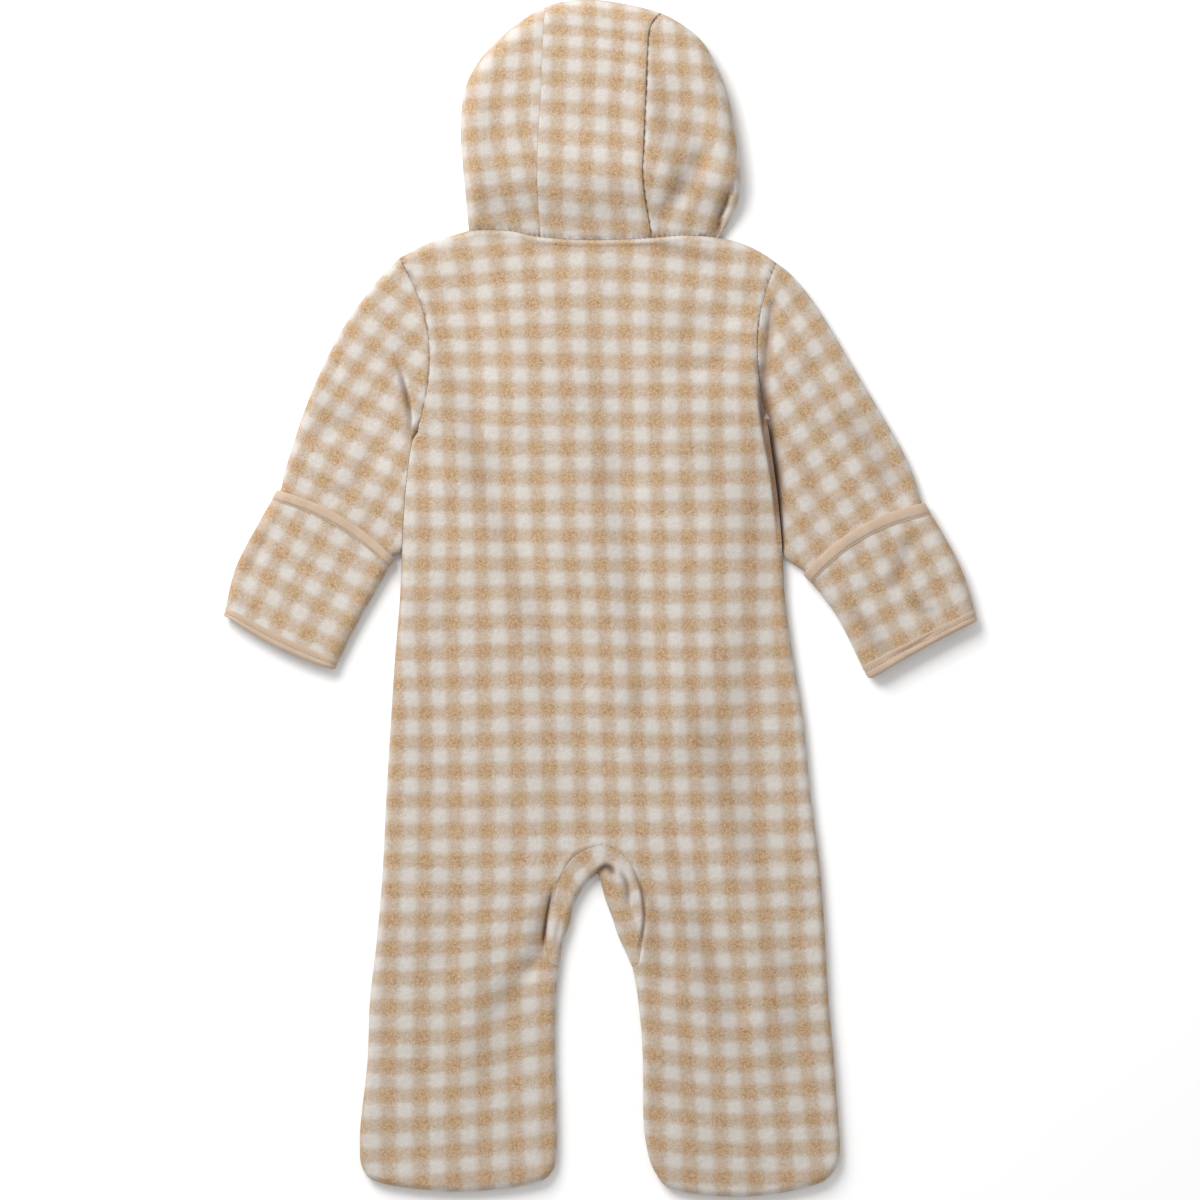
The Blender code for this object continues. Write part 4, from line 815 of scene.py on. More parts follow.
def fleeceMaterial(name):
    material, tree, shader, place = newMaterial(name, 0.96, sheen=0.12, specular=0.15)
    checks = addNode(tree, "ShaderNodeUVMap", uv_map="checks").outputs[0]
    split = addNode(tree, "ShaderNodeSeparateXYZ", {0: checks})
    curls = addNoise(tree, place, fleeceLook["curl"], 3.0, 0.65, 1.4)
    clumps = addNoise(tree, place, fleeceLook["clump"], 2.0, 0.5)
    slow = addNoise(tree, place, fleeceLook["patch"], 1.0, 0.5)
    ragged, edge = fleeceLook["ragged"], fleeceLook["edge"]
    blur = addMath(tree, "MULTIPLY_ADD", curls, ragged,
                   addMath(tree, "MULTIPLY_ADD", clumps, ragged, 0.5 - ragged))
    stripes = []
    for axis in ("X", "Y"):
        share = addMath(tree, "FRACT", addMath(tree, "ADD", split.outputs[axis], blur))
        far = addMath(tree, "ABSOLUTE", addMath(tree, "SUBTRACT", share, 0.5))
        stripes.append(addSmooth(tree, far, 0.25 - edge, 0.25 + edge, 1.0, 0.0))
    level = addMath(tree, "MULTIPLY", addMath(tree, "ADD", *stripes), 0.5)
    tips, roots = (addRamp(tree, level, list(zip((0.0, 0.5, 1.0), fleeceLook[key])))
                   for key in ("tips", "roots"))
    nap = addMix(tree, addSmooth(tree, curls, 0.62, 0.36), tips, roots)
    shade = addMath(tree, "MULTIPLY_ADD", addMath(tree, "SUBTRACT", slow, 0.5), 0.10, 1.0)
    shade = addMath(tree, "MULTIPLY_ADD", addMath(tree, "SUBTRACT", clumps, 0.5), 0.12, shade)
    shaded = addNode(tree, "ShaderNodeVectorMath", {0: nap, "Scale": shade}, operation="SCALE").outputs[0]
    # Painted shade: in creases and at seams the colour is mixed towards a dark brown shade tone.
    paintedShade = addNode(tree, "ShaderNodeAttribute", attribute_name="paintedShade").outputs["Fac"]
    tree.links.new(addMix(tree, paintedShade, shaded, fleeceLook["paintedShadeTone"]), shader.inputs["Base Color"])
    first = addBump(tree, shader, clumps, fleeceLook["clumpDepth"], 0.5)
    addBump(tree, shader, curls, fleeceLook["curlDepth"], 0.5, first)
    return material


bindingLook = {
    "colour": tone(186, 164, 144),
    "dark": tone(172, 150, 129),
    "rib": 0.9 * mm,
    "ribDepth": 0.22 * mm,
    "patch": 9.0 * mm,
}


def bindingMaterial(name):
    # A plain flat-knit band.
    material, tree, shader, place = newMaterial(name, 0.88, sheen=0.2, specular=0.2)
    knit = addNoise(tree, place, bindingLook["rib"], 2.0, 0.6, 0.6)
    slow = addNoise(tree, place, bindingLook["patch"], 2.0, 0.5)
    mixed = addMath(tree, "MULTIPLY_ADD", knit, 0.55, addMath(tree, "MULTIPLY", slow, 0.45))
    colour = addRamp(tree, mixed, [(0.3, bindingLook["dark"]), (0.62, bindingLook["colour"])])
    tree.links.new(colour, shader.inputs["Base Color"])
    addBump(tree, shader, knit, bindingLook["ribDepth"], 0.6)
    return material


def plainMaterial(name, light, dark, roughness, metallic, grain, depth):
    # Plastic, metal or thread: two close tones and a fine bump.
    material, tree, shader, place = newMaterial(name, roughness, metallic)
    noise = addNoise(tree, place, grain, 3.0, 0.6)
    tree.links.new(addRamp(tree, noise, [(0.35, dark), (0.65, light)]), shader.inputs["Base Color"])
    rough = addNode(tree, "ShaderNodeMapRange", {
        "Value": noise, "To Min": roughness * 0.85, "To Max": min(1.0, roughness * 1.2)})
    tree.links.new(rough.outputs[0], shader.inputs["Roughness"])
    addBump(tree, shader, noise, depth, 0.5)
    return material


tapeLook = {
    "light": tone(198, 176, 152),
    "dark": tone(176, 152, 128),
    "slant": math.radians(35),
    "rib": 1.1 * mm,
    "ribDepth": 0.15 * mm,
}


def tapeMaterial(name):
    # A woven zip tape: fine slanting ribs.
    material, tree, shader, place = newMaterial(name, 0.85, sheen=0.1)
    turned = addNode(tree, "ShaderNodeMapping", {"Rotation": (0.0, 0.0, tapeLook["slant"]), "Vector": place})
    ribs = addNode(tree, "ShaderNodeTexWave", {
        "Scale": 1.0 / tapeLook["rib"] / 6.28 * 2, "Distortion": 0.6, "Vector": turned.outputs[0]}).outputs["Fac"]
    tree.links.new(addRamp(tree, ribs, [(0.2, tapeLook["dark"]), (0.8, tapeLook["light"])]),
                   shader.inputs["Base Color"])
    addBump(tree, shader, ribs, tapeLook["ribDepth"], 0.7)
    return material


fleeceCloth = fleeceMaterial("ginghamFleece")
bindingCloth = bindingMaterial("knitBinding")
# The thread is darker than the binding it sews: partly its own colour, partly painted shade standing in for the dents
# between stitches.
threadMaterial = plainMaterial("sewingThread", tone(166, 142, 119), tone(148, 124, 102),
                               0.7, 0.0, 0.5 * mm, 0.05 * mm)
tapeCloth = tapeMaterial("zipTapeWeave")
teethPlastic = plainMaterial("zipTeeth", tone(192, 170, 146), tone(178, 156, 132),
                             0.38, 0.0, 2.0 * mm, 0.03 * mm)
sliderMetal = plainMaterial("sliderMetal", tone(176, 168, 156), tone(142, 134, 122),
                            0.34, 0.9, 1.2 * mm, 0.03 * mm)


def dress(piece, slot, body, *nodes):
    if nodes:
        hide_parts(*nodes)
    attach(piece, body)
    return piece


# Charts of the checks: column, row, x, y of the middle of a dark square, in mm.
bodyChecks = checksOf([
    (-3, -4, -114, 225.5), (-1, -4, -68.5, 229), (2, -4, -5, 232.5), (4, -4, 38, 230), (5, -4, 60.5, 227.5),
    (-3, -2, -107, 191.5), (0, -2, -45.5, 195), (3, -2, 16, 195), (5, -2, 57.5, 192.5), (7, -2, 98, 189),
    (-3, 0, -102, 157.5), (0, 0, -43.5, 157), (3, 0, 16.5, 156), (5, 0, 55.5, 156), (7, 0, 96.5, 153.5),
    (-4, 3, -118.5, 103), (-1, 3, -62.5, 99), (2, 3, -1, 99.5), (4, 3, 36.5, 98), (7, 3, 97.5, 100),
    (-4, 6, -116.5, 42.5), (0, 6, -40.5, 41.5), (3, 6, 19, 40.5), (5, 6, 58, 40.5), (8, 6, 119.5, 40.5),
    (-4, 9, -118.5, -16.5), (-1, 9, -57, -15), (2, 9, 2.5, -16), (4, 9, 39.5, -17.5), (8, 9, 118.5, -15.5),
    (-5, 12, -133.5, -75.5), (-3, 12, -97, -75), (0, 12, -35, -72.5), (3, 12, 23.5, -74.5), (5, 12, 61, -75),
    (8, 12, 122, -73),
    (-5, 15, -135.5, -133.5), (-3, 15, -96, -133.5), (0, 15, -33, -132), (3, 15, 26, -132.5),
    (5, 15, 63, -132.5), (8, 15, 125, -131),
    (-5, 18, -137, -192), (-3, 18, -95.5, -192), (-1, 18, -54.5, -190.5), (0, 18, -34, -189.5),
    (3, 18, 30.5, -190.5), (5, 18, 67, -190.5), (8, 18, 128, -188.5),
    (0, 20, -36.5, -224), (3, 20, 35, -227), (5, 20, 70.5, -229),
    (-5, 22, -139.5, -269.5), (-3, 22, -97.5, -269), (0, 22, -36, -257), (3, 22, 34, -263.5),
    (5, 22, 74.5, -268), (8, 22, 132, -264.5),
    (-5, 24, -140, -308), (-3, 24, -97, -307.5), (0, 24, -36, -296), (3, 24, 36, -301), (5, 24, 76.5, -307),
    (8, 24, 135.5, -303),
    (-5, 27, -140, -367), (-3, 27, -97, -364), (0, 27, -34.5, -358), (3, 27, 37.5, -359.5),
    (5, 27, 79.5, -363), (8, 27, 142, -362)])
sleeveChecks = {
    1: checksOf([
        (-2, -4, -139.5, 205.5), (-2, -3, -153.5, 193), (-2, -2, -163.5, 176), (0, -2, -135, 156),
        (-2, -1, -174, 160.5), (0, -1, -144, 142), (1, -1, -127.5, 131), (-2, 0, -182.5, 143.5),
        (-1, 0, -172, 135.5), (1, 0, -135.5, 116.5), (-1, 1, -182, 120.5), (1, 1, -147, 100.5),
        (2, 1, -131.5, 91), (-1, 2, -191.5, 104), (1, 2, -156, 84), (2, 2, -137.5, 75),
        (-1, 3, -199.5, 87), (1, 3, -164.5, 67.5), (3, 3, -133, 51)]),
    -1: checksOf([
        (-1, -4, 110, 199.5), (0, -4, 120.5, 212), (-1, -3, 119, 184), (0, -3, 131.5, 195.5),
        (-2, -2, 114, 154), (0, -2, 143, 179), (-3, -1, 110.5, 127.5), (-1, -1, 139.5, 151.5),
        (0, -1, 153.5, 162), (-3, 0, 118, 110.5), (-1, 0, 150, 135), (0, 0, 164, 143.5),
        (-3, 1, 128.5, 94), (-1, 1, 160, 118), (0, 1, 174, 127), (-4, 2, 122, 65), (-2, 2, 154, 90),
        (0, 2, 184, 110), (-4, 3, 133.5, 49), (-2, 3, 164, 73.5), (0, 3, 193.5, 92.5),
        (-4, 4, 143.5, 34), (-2, 4, 174, 57), (0, 4, 202.5, 76)])}
flapChecks = {
    1: checksOf([
        (-1, 0, -217, 56), (1, 0, -186, 36.5), (3, 0, -149, 18), (-1, 1, -226, 40), (1, 1, -194.5, 20),
        (3, 1, -157.5, 1.5), (-1, 2, -235.5, 23), (1, 2, -202.5, 4.5), (3, 2, -166, -15.5),
        (-1, 3, -242.5, 4.5), (1, 3, -211.5, -13.5), (3, 3, -174.5, -31.5)]),
    -1: checksOf([
        (-1, -1, 157, 16), (0, -1, 174, 25), (2, -1, 205.5, 42), (-1, 0, 163.5, -1.5), (0, 0, 182, 7),
        (2, 0, 214, 25.5), (-1, 1, 170.5, -19.5), (0, 1, 189, -10), (2, 1, 222, 8), (-1, 2, 177, -36.5),
        (0, 2, 197.5, -27.5), (1, 2, 215.5, -21)])}
hoodChecks = {
    1: checksOf([
        (0, -1, -67, 344), (1, -1, -50, 345.5), (-1, 0, -86, 324.5), (1, 0, -52, 327.5),
        (-1, 1, -85.5, 304.5), (1, 1, -50.5, 308.5), (-1, 2, -83.5, 285.5), (1, 2, -46.5, 289),
        (-1, 3, -80, 266.5), (1, 3, -44.5, 271.5), (-1, 4, -77, 248.5), (0, 4, -57, 252)]),
    -1: checksOf([
        (-1, -3, 37.5, 349), (1, -3, 71, 347), (-1, -2, 40, 330.5), (1, -2, 73, 327),
        (-1, -1, 38.5, 312), (1, -1, 72.5, 307), (-1, 0, 34.5, 292.5), (1, 0, 67.5, 288),
        (2, 0, 85.5, 282), (-1, 1, 30.5, 275.5), (1, 1, 63, 269), (2, 1, 81, 264.5), (0, 2, 43, 254),
        (2, 2, 75, 246.5)]),
    0: checksOf([
        (-1, -4, -28.5, 388), (1, -4, 12, 384.5), (-1, -3, -26.5, 374.5), (1, -3, 11.5, 371),
        (-1, -2, -27.5, 360), (1, -2, 11.5, 357.5), (-1, -1, -28, 342), (0, -1, -8, 341.5),
        (2, -1, 27.5, 337), (-1, 0, -28.5, 323), (0, 0, -9, 322), (2, 0, 27.5, 318),
        (-1, 1, -28.5, 304.5), (1, 1, 9.5, 301.5), (-1, 2, -29.5, 285), (1, 2, 9.5, 282),
        (-1, 3, -29.5, 266.5), (1, 3, 10, 263), (-1, 4, -29.5, 248.5), (1, 4, 13, 245)])}
gussetChecks = checksOf([
    (0, 0, -10.4, -170.4), (0, 1, -23, -185.4), (0, 2, -23.8, -207.2), (0.5, 0.5, -13.4, -182.5),
    (-1, 1, -41, -178), (-1, 2, -43.5, -204), (1, 0, 8.8, -194.9), (1, 1, 16.2, -208.9),
    (1, 2, 22.8, -225.4), (1.5, -0.5, 13, -182.5), (1.5, 0.5, 22, -195.7), (1.5, 1.5, 26, -212.2),
    (2, 1, 33, -202)])


# Body: the back, the two fronts and the gusset

def archLevels():
    share = np.arange(panel["archRows"] + 1) / panel["archRows"]
    return suit["crotch"] + (suit["gussetEnd"] - suit["crotch"]) * share ** 1.8


def panelLevels(top):
    # The heights of a panel's rows, closer together at its ends and round the crotch.
    rolled = rollShares * suit["roll"]
    start = list(top - rolled)

    def evenly(high, low):
        return list(np.linspace(high, low, max(2, round((high - low) / panel["rowStep"])) + 1)[1:-1])

    upper = evenly(start[-1], suit["underarm"]) + [suit["underarm"]]
    waist = evenly(suit["underarm"], suit["crotch"])
    tip = [suit["gussetTip"] + (suit["gussetEnd"] - suit["gussetTip"]) * share for share in (0.6, 0.25, 0.0)]
    end = [suit["footCorner"] + distance for distance in reversed(rolled)]
    leg = evenly(suit["gussetTip"], end[0])
    return np.array(start + upper + waist + list(archLevels()) + tip + leg + end)


def innerCurve(turn, zipGap):
    # The inner side of half a panel: centre, gusset seam and inside leg.
    seam = gussetSeam[:gussetMiddle + 1][::-1] if turn > 0 else gussetSeam[gussetMiddle:]
    centre = -turn * zipGap / 2
    line = [(centre, suit["neckFront"] if zipGap else suit["neckBack"])]
    if zipGap:
        line += [(centre, zipShape["bottom"]), (0.0, zipShape["bottom"] - zipShape["end"])]
    return np.vstack([line, seam, insideLine[turn]])


def frontNeck(turn):
    corner = neckSeam[turn][0]
    centre = np.array([-turn * zipShape["channel"] / 2, suit["neckFront"]])
    shares = np.linspace(0, 1, 60)[:, None]
    return corner + (centre - corner) * shares + np.array([0.0, -1.0]) * suit["neckSag"] * 4 * shares * (1 - shares)


def halfPanel(turn, top, zipGap):
    # Rows of points over one half of the back or one front.
    outer, inner = bodySide[turn], innerCurve(turn, zipGap)
    neckTop = inner[0][1]
    levels = panelLevels(neckTop)
    knotsIn = [suit["footCorner"], panel["waist"], suit["underarm"], neckTop]
    knotsOut = [suit["footCorner"], panel["waist"], sleeveRows[turn][sleeve["underarmRow"]][3], outer[0][1]]
    rows = []
    for level in levels:
        pastArm, intoLeg = (ease((level - base - fade[0]) / fade[1]) for base, fade in (
            (suit["underarm"], panel["armFade"]), (suit["gussetTip"], panel["legFade"])))
        sunk = ease((suit["footCorner"] + panel["footSink"] - level) / panel["footSink"])
        start = atY(outer, np.interp(level, knotsIn, knotsOut))
        end = atY(inner, level + (foot[turn]["innerY"] - suit["footCorner"]) * sunk)
        shares = spreadShares(np.linalg.norm(end - start), suit["roll"] + panel["widerRoll"] * pastArm,
                              suit["roll"] + panel["widerRoll"] * intoLeg, panel["columns"])
        rows.append(start + (end - start) * shares[:, None])
    rows = np.array(rows)
    edge = neckLine[turn] if top else frontNeck(turn)
    headLine = np.vstack([shoulderLine[turn], edge[1:]])
    run = runAlong(headLine)
    corner = run[len(shoulderLine[turn]) - 1] / run[-1]
    columns = np.linspace(0, 1, rows.shape[1])
    head = alongCurve(headLine, np.interp(columns, [0, columns[panel["shoulderColumns"]], 1], [0, corner, 1]))
    tail = footBottom(turn, shares)
    nearHead = 1 - ease((neckTop - levels - suit["roll"]) / panel["endBlend"])
    nearTail = 1 - ease((levels - suit["footCorner"] - suit["roll"]) / panel["endBlend"])
    return rows + (head - rows[0]) * nearHead[:, None, None] + (tail - rows[-1]) * nearTail[:, None, None]


bodySeams = [(armholeLine[1], "leftArmhole"), (armholeLine[-1], "rightArmhole"), (gussetSeam, "gusset"),
             (wholeNeck, "neck")]


def buildBody():
    halves = [laySuit(halfPanel(1, True, 0.0), True, bodySeams),
              laySuit(halfPanel(-1, True, 0.0)[:, ::-1], True, bodySeams)]
    back = buildCloth("backPanel", halves, fleeceCloth, bodyChecks)
    dress(back, "fleece", "suit", "back")
    for side, turn in sides.items():
        rows = laySuit(halfPanel(turn, False, zipShape["channel"]), False)
        checks = straightChecks(-turn * 14.0, 150.0, lean=turn * 1.2)
        front = buildCloth("frontPanel_" + side, [rows], fleeceCloth, checks)
        dress(front, "fleece", "suit", "front_" + side)


def buildGusset():
    levels = archLevels()
    left = [np.interp(y, gussetSeam[:gussetMiddle + 1, 1], gussetPlaces[:gussetMiddle + 1]) for y in levels[::-1]]
    right = [np.interp(-y, -gussetSeam[gussetMiddle:, 1], gussetPlaces[gussetMiddle:]) for y in levels[1:]]
    shares = np.sin(np.linspace(math.pi / 2, 0, 22))[:, None]
    across = []
    for place in left + right:
        row = between(gussetRows, place)
        across.append(row[2:4] + (row[0:2] - row[2:4]) * shares)
    across = np.array(across)
    patches = [laySuit(across, True, [(gussetSeam, "gusset")]), laySuit(across[:, ::-1], False)]
    piece = buildCloth("gussetPanel", patches, fleeceCloth, gussetChecks)
    dress(piece, "fleece", "suit", "crotch_gusset")


# Sleeves, mitten flaps and their bindings

def laySleeve(turn, places, top, columns, flap=False):
    grid, heights = [], []
    for place in places:
        width = np.linalg.norm(np.subtract(*sleeveLine(turn, place, [0.0, 1.0])[0]))
        roll = min(sleeve["roll"], 0.3 * width)
        line, height = sleeveLine(turn, place, spreadShares(max(width, 0.01 * mm), roll, roll, columns))
        grid.append(line)
        heights.append(np.full(len(line), height))
    grid = np.array(grid)
    points = grid.reshape(-1, 2)
    relief = startRelief(points, sleeve["lumpSize"], 11 + turn + (5 if flap else 0))
    if top:
        relief[:, 0] += foldDepth(points)
        relief += creased(points, upperCreases)
        if not flap:
            relief += sewn(points, [(armholeLine[turn], "leftArmhole" if turn > 0 else "rightArmhole")])
    else:
        relief += creased(points, underCreases)
    lift = besideBody(points, turn) * valley["sleeveShare"][turn]
    laid = layCloth(points, sleeveOutline[turn], np.concatenate(heights), sleeve["roll"], top, relief, lift)
    return shaped(laid, grid.shape)


def lifted(patch, distance):
    # The same cloth, moved out by a distance that may change over it, less at its sides.
    less = 0.45 + 0.55 * patch["normal"][..., 2:3]
    return {**patch, "outer": patch["outer"] + patch["normal"] * distance * less}


binding = {
    "proud": 0.3 * mm,          # above the cloth it edges
    "crown": 0.55 * mm,         # more in the middle of its width
    "groove": 0.55 * mm,        # how far the stitches draw it down
    "overlap": 0.12 * mm,       # its edge stands on the cloth by this much
    "rows": 19,
    "columns": 60,
    "stitchPitch": 2.0 * mm,
    "stitchShare": 0.55,        # thread that shows, of each pitch
    "stitchHeight": 0.18 * mm,
    "thread": 0.6 * mm,
}
flapBinding = {"past": 0.04, "stitched": 0.86, "groove": 0.05, "drop": 0.8 * mm, "thinner": 0.4 * mm}
cuffBinding = {"before": 0.06, "stitched": 0.2, "groove": 0.06, "drop": 1.6 * mm, "columns": 44,
               "cornerFrom": 0.45, "corner": 2.2 * mm, "inside": 0.8}
onFlap = sleeve["flapLoose"] + suit["wall"]


def buildSleeve(side, turn):
    places = np.concatenate([np.linspace(0, 1, 14)[:-1], np.linspace(1, sleeve["cuffSeam"], sleeve["rows"])])
    upper, lower = (laySleeve(turn, places, top, sleeve["columns"]) for top in (True, False))
    lower = {key: value[:, ::-1] for key, value in lower.items()}
    piece = buildCloth("sleevePanel_" + side, [upper, lower], fleeceCloth, sleeveChecks[turn])
    dress(piece, "fleece", "suit", "sleeve_" + side)
    flapPlaces = np.linspace(sleeve["flapSeam"], sleeve["cuffSeam"], sleeve["flapRows"])
    rows = laySleeve(turn, flapPlaces, True, sleeve["flapColumns"], flap=True)
    flap = buildCloth("mittFlap_" + side, [lifted(rows, onFlap)], fleeceCloth, flapChecks[turn])
    dress(flap, "fleece", "suit", "mitt_flap_" + side)
    buildFlapBinding(side, turn)
    buildCuff(side, turn)


def bandShape(look, lowStart, lowEnd):
    # Shares across a band, closer together at its edges, and its height above the sleeve
    # there: full in the middle, with a groove where it is stitched.
    turned = np.linspace(0, math.pi, binding["rows"])
    shares, crown = (1 - np.cos(turned)) / 2, np.sin(turned) ** 0.7
    low = np.where(shares < 0.5, lowStart, lowEnd)
    height = low + (onFlap + binding["proud"] + binding["crown"] - low) * crown
    return shares, height - binding["groove"] * np.exp(-((shares - look["stitched"]) / look["groove"]) ** 2)


def stitchBand(name, turn, places, look, shares, height):
    at = places[0] + (places[-1] - places[0]) * look["stitched"]
    seam = laySleeve(turn, [at, at + 0.05], True, binding["columns"], flap=True)
    line = lifted(seam, np.interp(look["stitched"], shares, height) + binding["stitchHeight"])["outer"][0]
    buildStitches(name, line[4:-4])


def buildFlapBinding(side, turn):
    # It is folded over the flap's edge and overlaps the flap's cloth, where it is stitched.
    top, end = sleeve["flapTop"], sleeve["flapSeam"] + flapBinding["past"]
    shares, height = bandShape(flapBinding, onFlap - flapBinding["drop"], onFlap + binding["overlap"])
    places = top + (end - top) * shares
    rows = laySleeve(turn, places, True, binding["columns"], flap=True)
    piece = buildCloth("flapBinding_" + side, [lifted(rows, height[:, None, None])], bindingCloth,
                       thickness=suit["wall"] - flapBinding["thinner"])
    dress(piece, "binding", "suit", "flap_binding_" + side)
    stitchBand("flapStitches_" + side, turn, places, flapBinding, shares, height)


def ringWall(name, outer, inner, material):
    # A closed band from two grids of points: round the columns, open at both ends.
    rows, columns = outer.shape[:2]
    count, faces = rows * columns, []
    for column in range(columns):
        after = (column + 1) % columns
        for row in range(rows - 1):
            a, b = row * columns + column, row * columns + after
            faces.append((a, a + columns, b + columns, b))
            faces.append((b + count, b + columns + count, a + columns + count, a + count))
        last = (rows - 1) * columns
        faces.append((column, after, after + count, column + count))
        faces.append((after + last, column + last, column + last + count, after + last + count))
    mesh = bpy.data.meshes.new(name)
    mesh.from_pydata(np.vstack([outer.reshape(-1, 3), inner.reshape(-1, 3)]).tolist(), [], faces)
    shape = bmesh.new()
    shape.from_mesh(mesh)
    bmesh.ops.recalc_face_normals(shape, faces=shape.faces)
    shape.to_mesh(mesh)
    shape.free()
    return finishPiece(name, mesh, material)


def buildCuff(side, turn):
    # The binding goes round sleeve and flap together; underneath it lies flat.
    first, last = sleeve["cuffSeam"] - cuffBinding["before"], len(sleeveRows[turn]) - 1
    shares, height = bandShape(cuffBinding, onFlap + binding["overlap"], onFlap - cuffBinding["drop"])
    places = first + (last - first) * shares
    upper, lower = (laySleeve(turn, places, top, cuffBinding["columns"], flap=True) for top in (True, False))
    ring = {key: np.concatenate([upper[key], lower[key][:, -2::-1]], axis=1)[:, :-1] for key in upper}
    up = ring["normal"][:, :, 2:3]
    rest = np.where(up >= 0, 0.45 + 0.55 * up, 0.45 * (1 + up))
    # Its corners are rounded: the last rows draw in at both ends.
    late = np.clip((shares - cuffBinding["cornerFrom"]) / (1 - cuffBinding["cornerFrom"]), 0, 1)
    drawn = cuffBinding["corner"] * late[:, None] ** 3 * np.clip(1 - up[..., 0], 0, 1)
    outer = ring["outer"] + ring["normal"] * (height[:, None, None] * rest - drawn[..., None])
    outer[..., 2] = np.maximum(outer[..., 2], 0.0)
    inner = ring["outer"] - ring["normal"] * (suit["wall"] * cuffBinding["inside"])
    piece = ringWall("cuffBinding_" + side, outer, inner, bindingCloth)
    dress(piece, "binding", "suit", "cuff_binding_" + side)
    stitchBand("cuffStitches_" + side, turn, places, cuffBinding, shares, height)


# Geometry Nodes for what repeats along a line: stitches and zip teeth

def startTree(name, inputs, output):
    # A tree with its named inputs, and what it is given, as evenly spaced points.
    tree = bpy.data.node_groups.new(name, "GeometryNodeTree")
    for key, kind, value in inputs:
        socket = tree.interface.new_socket(key, in_out="INPUT", socket_type=kind)
        if value is not None:
            socket.default_value = value
    tree.interface.new_socket(output, in_out="OUTPUT", socket_type="NodeSocketGeometry")
    given = addNode(tree, "NodeGroupInput").outputs
    curve = addNode(tree, "GeometryNodeMeshToCurve", {0: given["Line"]}).outputs[0]
    even = addNode(tree, "GeometryNodeResampleCurve", {"Curve": curve, "Length": given["Pitch"]}, mode="LENGTH")
    return tree, given, even.outputs[0]


def endTree(tree, instances, material):
    real = addNode(tree, "GeometryNodeRealizeInstances", {0: instances}).outputs[0]
    paint = addNode(tree, "GeometryNodeSetMaterial", {"Geometry": real, "Material": material}).outputs[0]
    addNode(tree, "NodeGroupOutput", {0: paint})
    return tree


def addHalf(tree, value):
    return addNode(tree, "ShaderNodeMath", {0: value, 1: 0.5}, operation="MULTIPLY").outputs[0]


def stitchTree():
    # A short thread at every pitch.
    tree, given, even = startTree("stitchesAlongLine", [
        ("Line", "NodeSocketGeometry", None), ("Pitch", "NodeSocketFloat", 1.65 * mm),
        ("Stitch Length", "NodeSocketFloat", 1.2 * mm), ("Thread Radius", "NodeSocketFloat", 0.21 * mm),
        ("Seed", "NodeSocketInt", 3), ("Thread", "NodeSocketMaterial", None)], "Stitches")
    points = addNode(tree, "GeometryNodeCurveToPoints", {0: even}, mode="EVALUATED").outputs
    thread = addNode(tree, "GeometryNodeMeshUVSphere", {"Segments": 6, "Rings": 5}).outputs["Mesh"]
    size = addNode(tree, "ShaderNodeCombineXYZ", {
        "X": given["Thread Radius"], "Y": given["Thread Radius"], "Z": addHalf(tree, given["Stitch Length"])})
    chance = addNode(tree, "FunctionNodeRandomValue", {2: 0.85, 3: 1.15, "Seed": given["Seed"]})
    scaled = addNode(tree, "ShaderNodeVectorMath", {0: size.outputs[0], "Scale": chance.outputs[1]},
                     operation="SCALE")
    placed = addNode(tree, "GeometryNodeInstanceOnPoints", {
        "Points": points["Points"], "Instance": thread, "Rotation": points["Rotation"],
        "Scale": scaled.outputs[0]}).outputs[0]
    return endTree(tree, placed, given["Thread"])


def madeByNodes(name, mesh, tree, material, inputs):
    # Runs a node tree on a mesh once and keeps the plain mesh that it makes.
    source = bpy.data.objects.new(name + "_source", mesh)
    bpy.context.collection.objects.link(source)
    modifier = source.modifiers.new("nodes", "NODES")
    modifier.node_group = tree
    for item in tree.interface.items_tree:
        if item.item_type == "SOCKET" and item.in_out == "INPUT" and item.name in inputs:
            modifier[item.identifier] = inputs[item.name]
    graph = bpy.context.evaluated_depsgraph_get()
    made = bpy.data.meshes.new_from_object(source.evaluated_get(graph), depsgraph=graph)
    source.modifiers.remove(modifier)
    bpy.data.objects.remove(source)
    made.name = name
    return finishPiece(name, made, material, sharp=60)


stitchNodes = stitchTree()


def buildStitches(name, line):
    pitch = binding["stitchPitch"]
    mesh = bpy.data.meshes.new(name)
    mesh.from_pydata(line.tolist(), [(i, i + 1) for i in range(len(line) - 1)], [])
    piece = madeByNodes(name, mesh, stitchNodes, threadMaterial, {
        "Pitch": pitch, "Stitch Length": pitch * binding["stitchShare"],
        "Thread Radius": binding["thread"] / 2, "Seed": 3, "Thread": threadMaterial})
    dress(piece, "binding", "suit")


# Hood: two side panels and the centre one

def faceEdge(share):
    # The face opening, from the zip (0) over the forehead (0.5) back to the zip (1).
    end = math.pi - math.asin(zipShape["channel"] / hood["faceWidth"])
    angle = end * (2 * share - 1)
    rise = (math.cos(angle) - math.cos(end)) / (1 - math.cos(end))
    return np.array([hood["faceWidth"] / 2 * math.sin(angle),
                     suit["neckFront"] + (hood["faceTop"] - suit["neckFront"]) * rise])


def hoodColumns(width):
    # Shares from the outline to the seam, close together at both.
    width = max(width, 1e-6)
    rolled = rollShares * min(suit["hoodRoll"], 0.35 * width)
    rest = np.sin(np.linspace(0, math.pi / 2, hood["sideColumns"]))[1:]
    return np.concatenate([rolled, rolled[-1] + (width - rolled[-1]) * rest]) / width


hoodSeams = [(hoodSeamLine[1], "hoodLeft"), (hoodSeamLine[-1], "hoodRight"), (wholeNeck, "neck")]


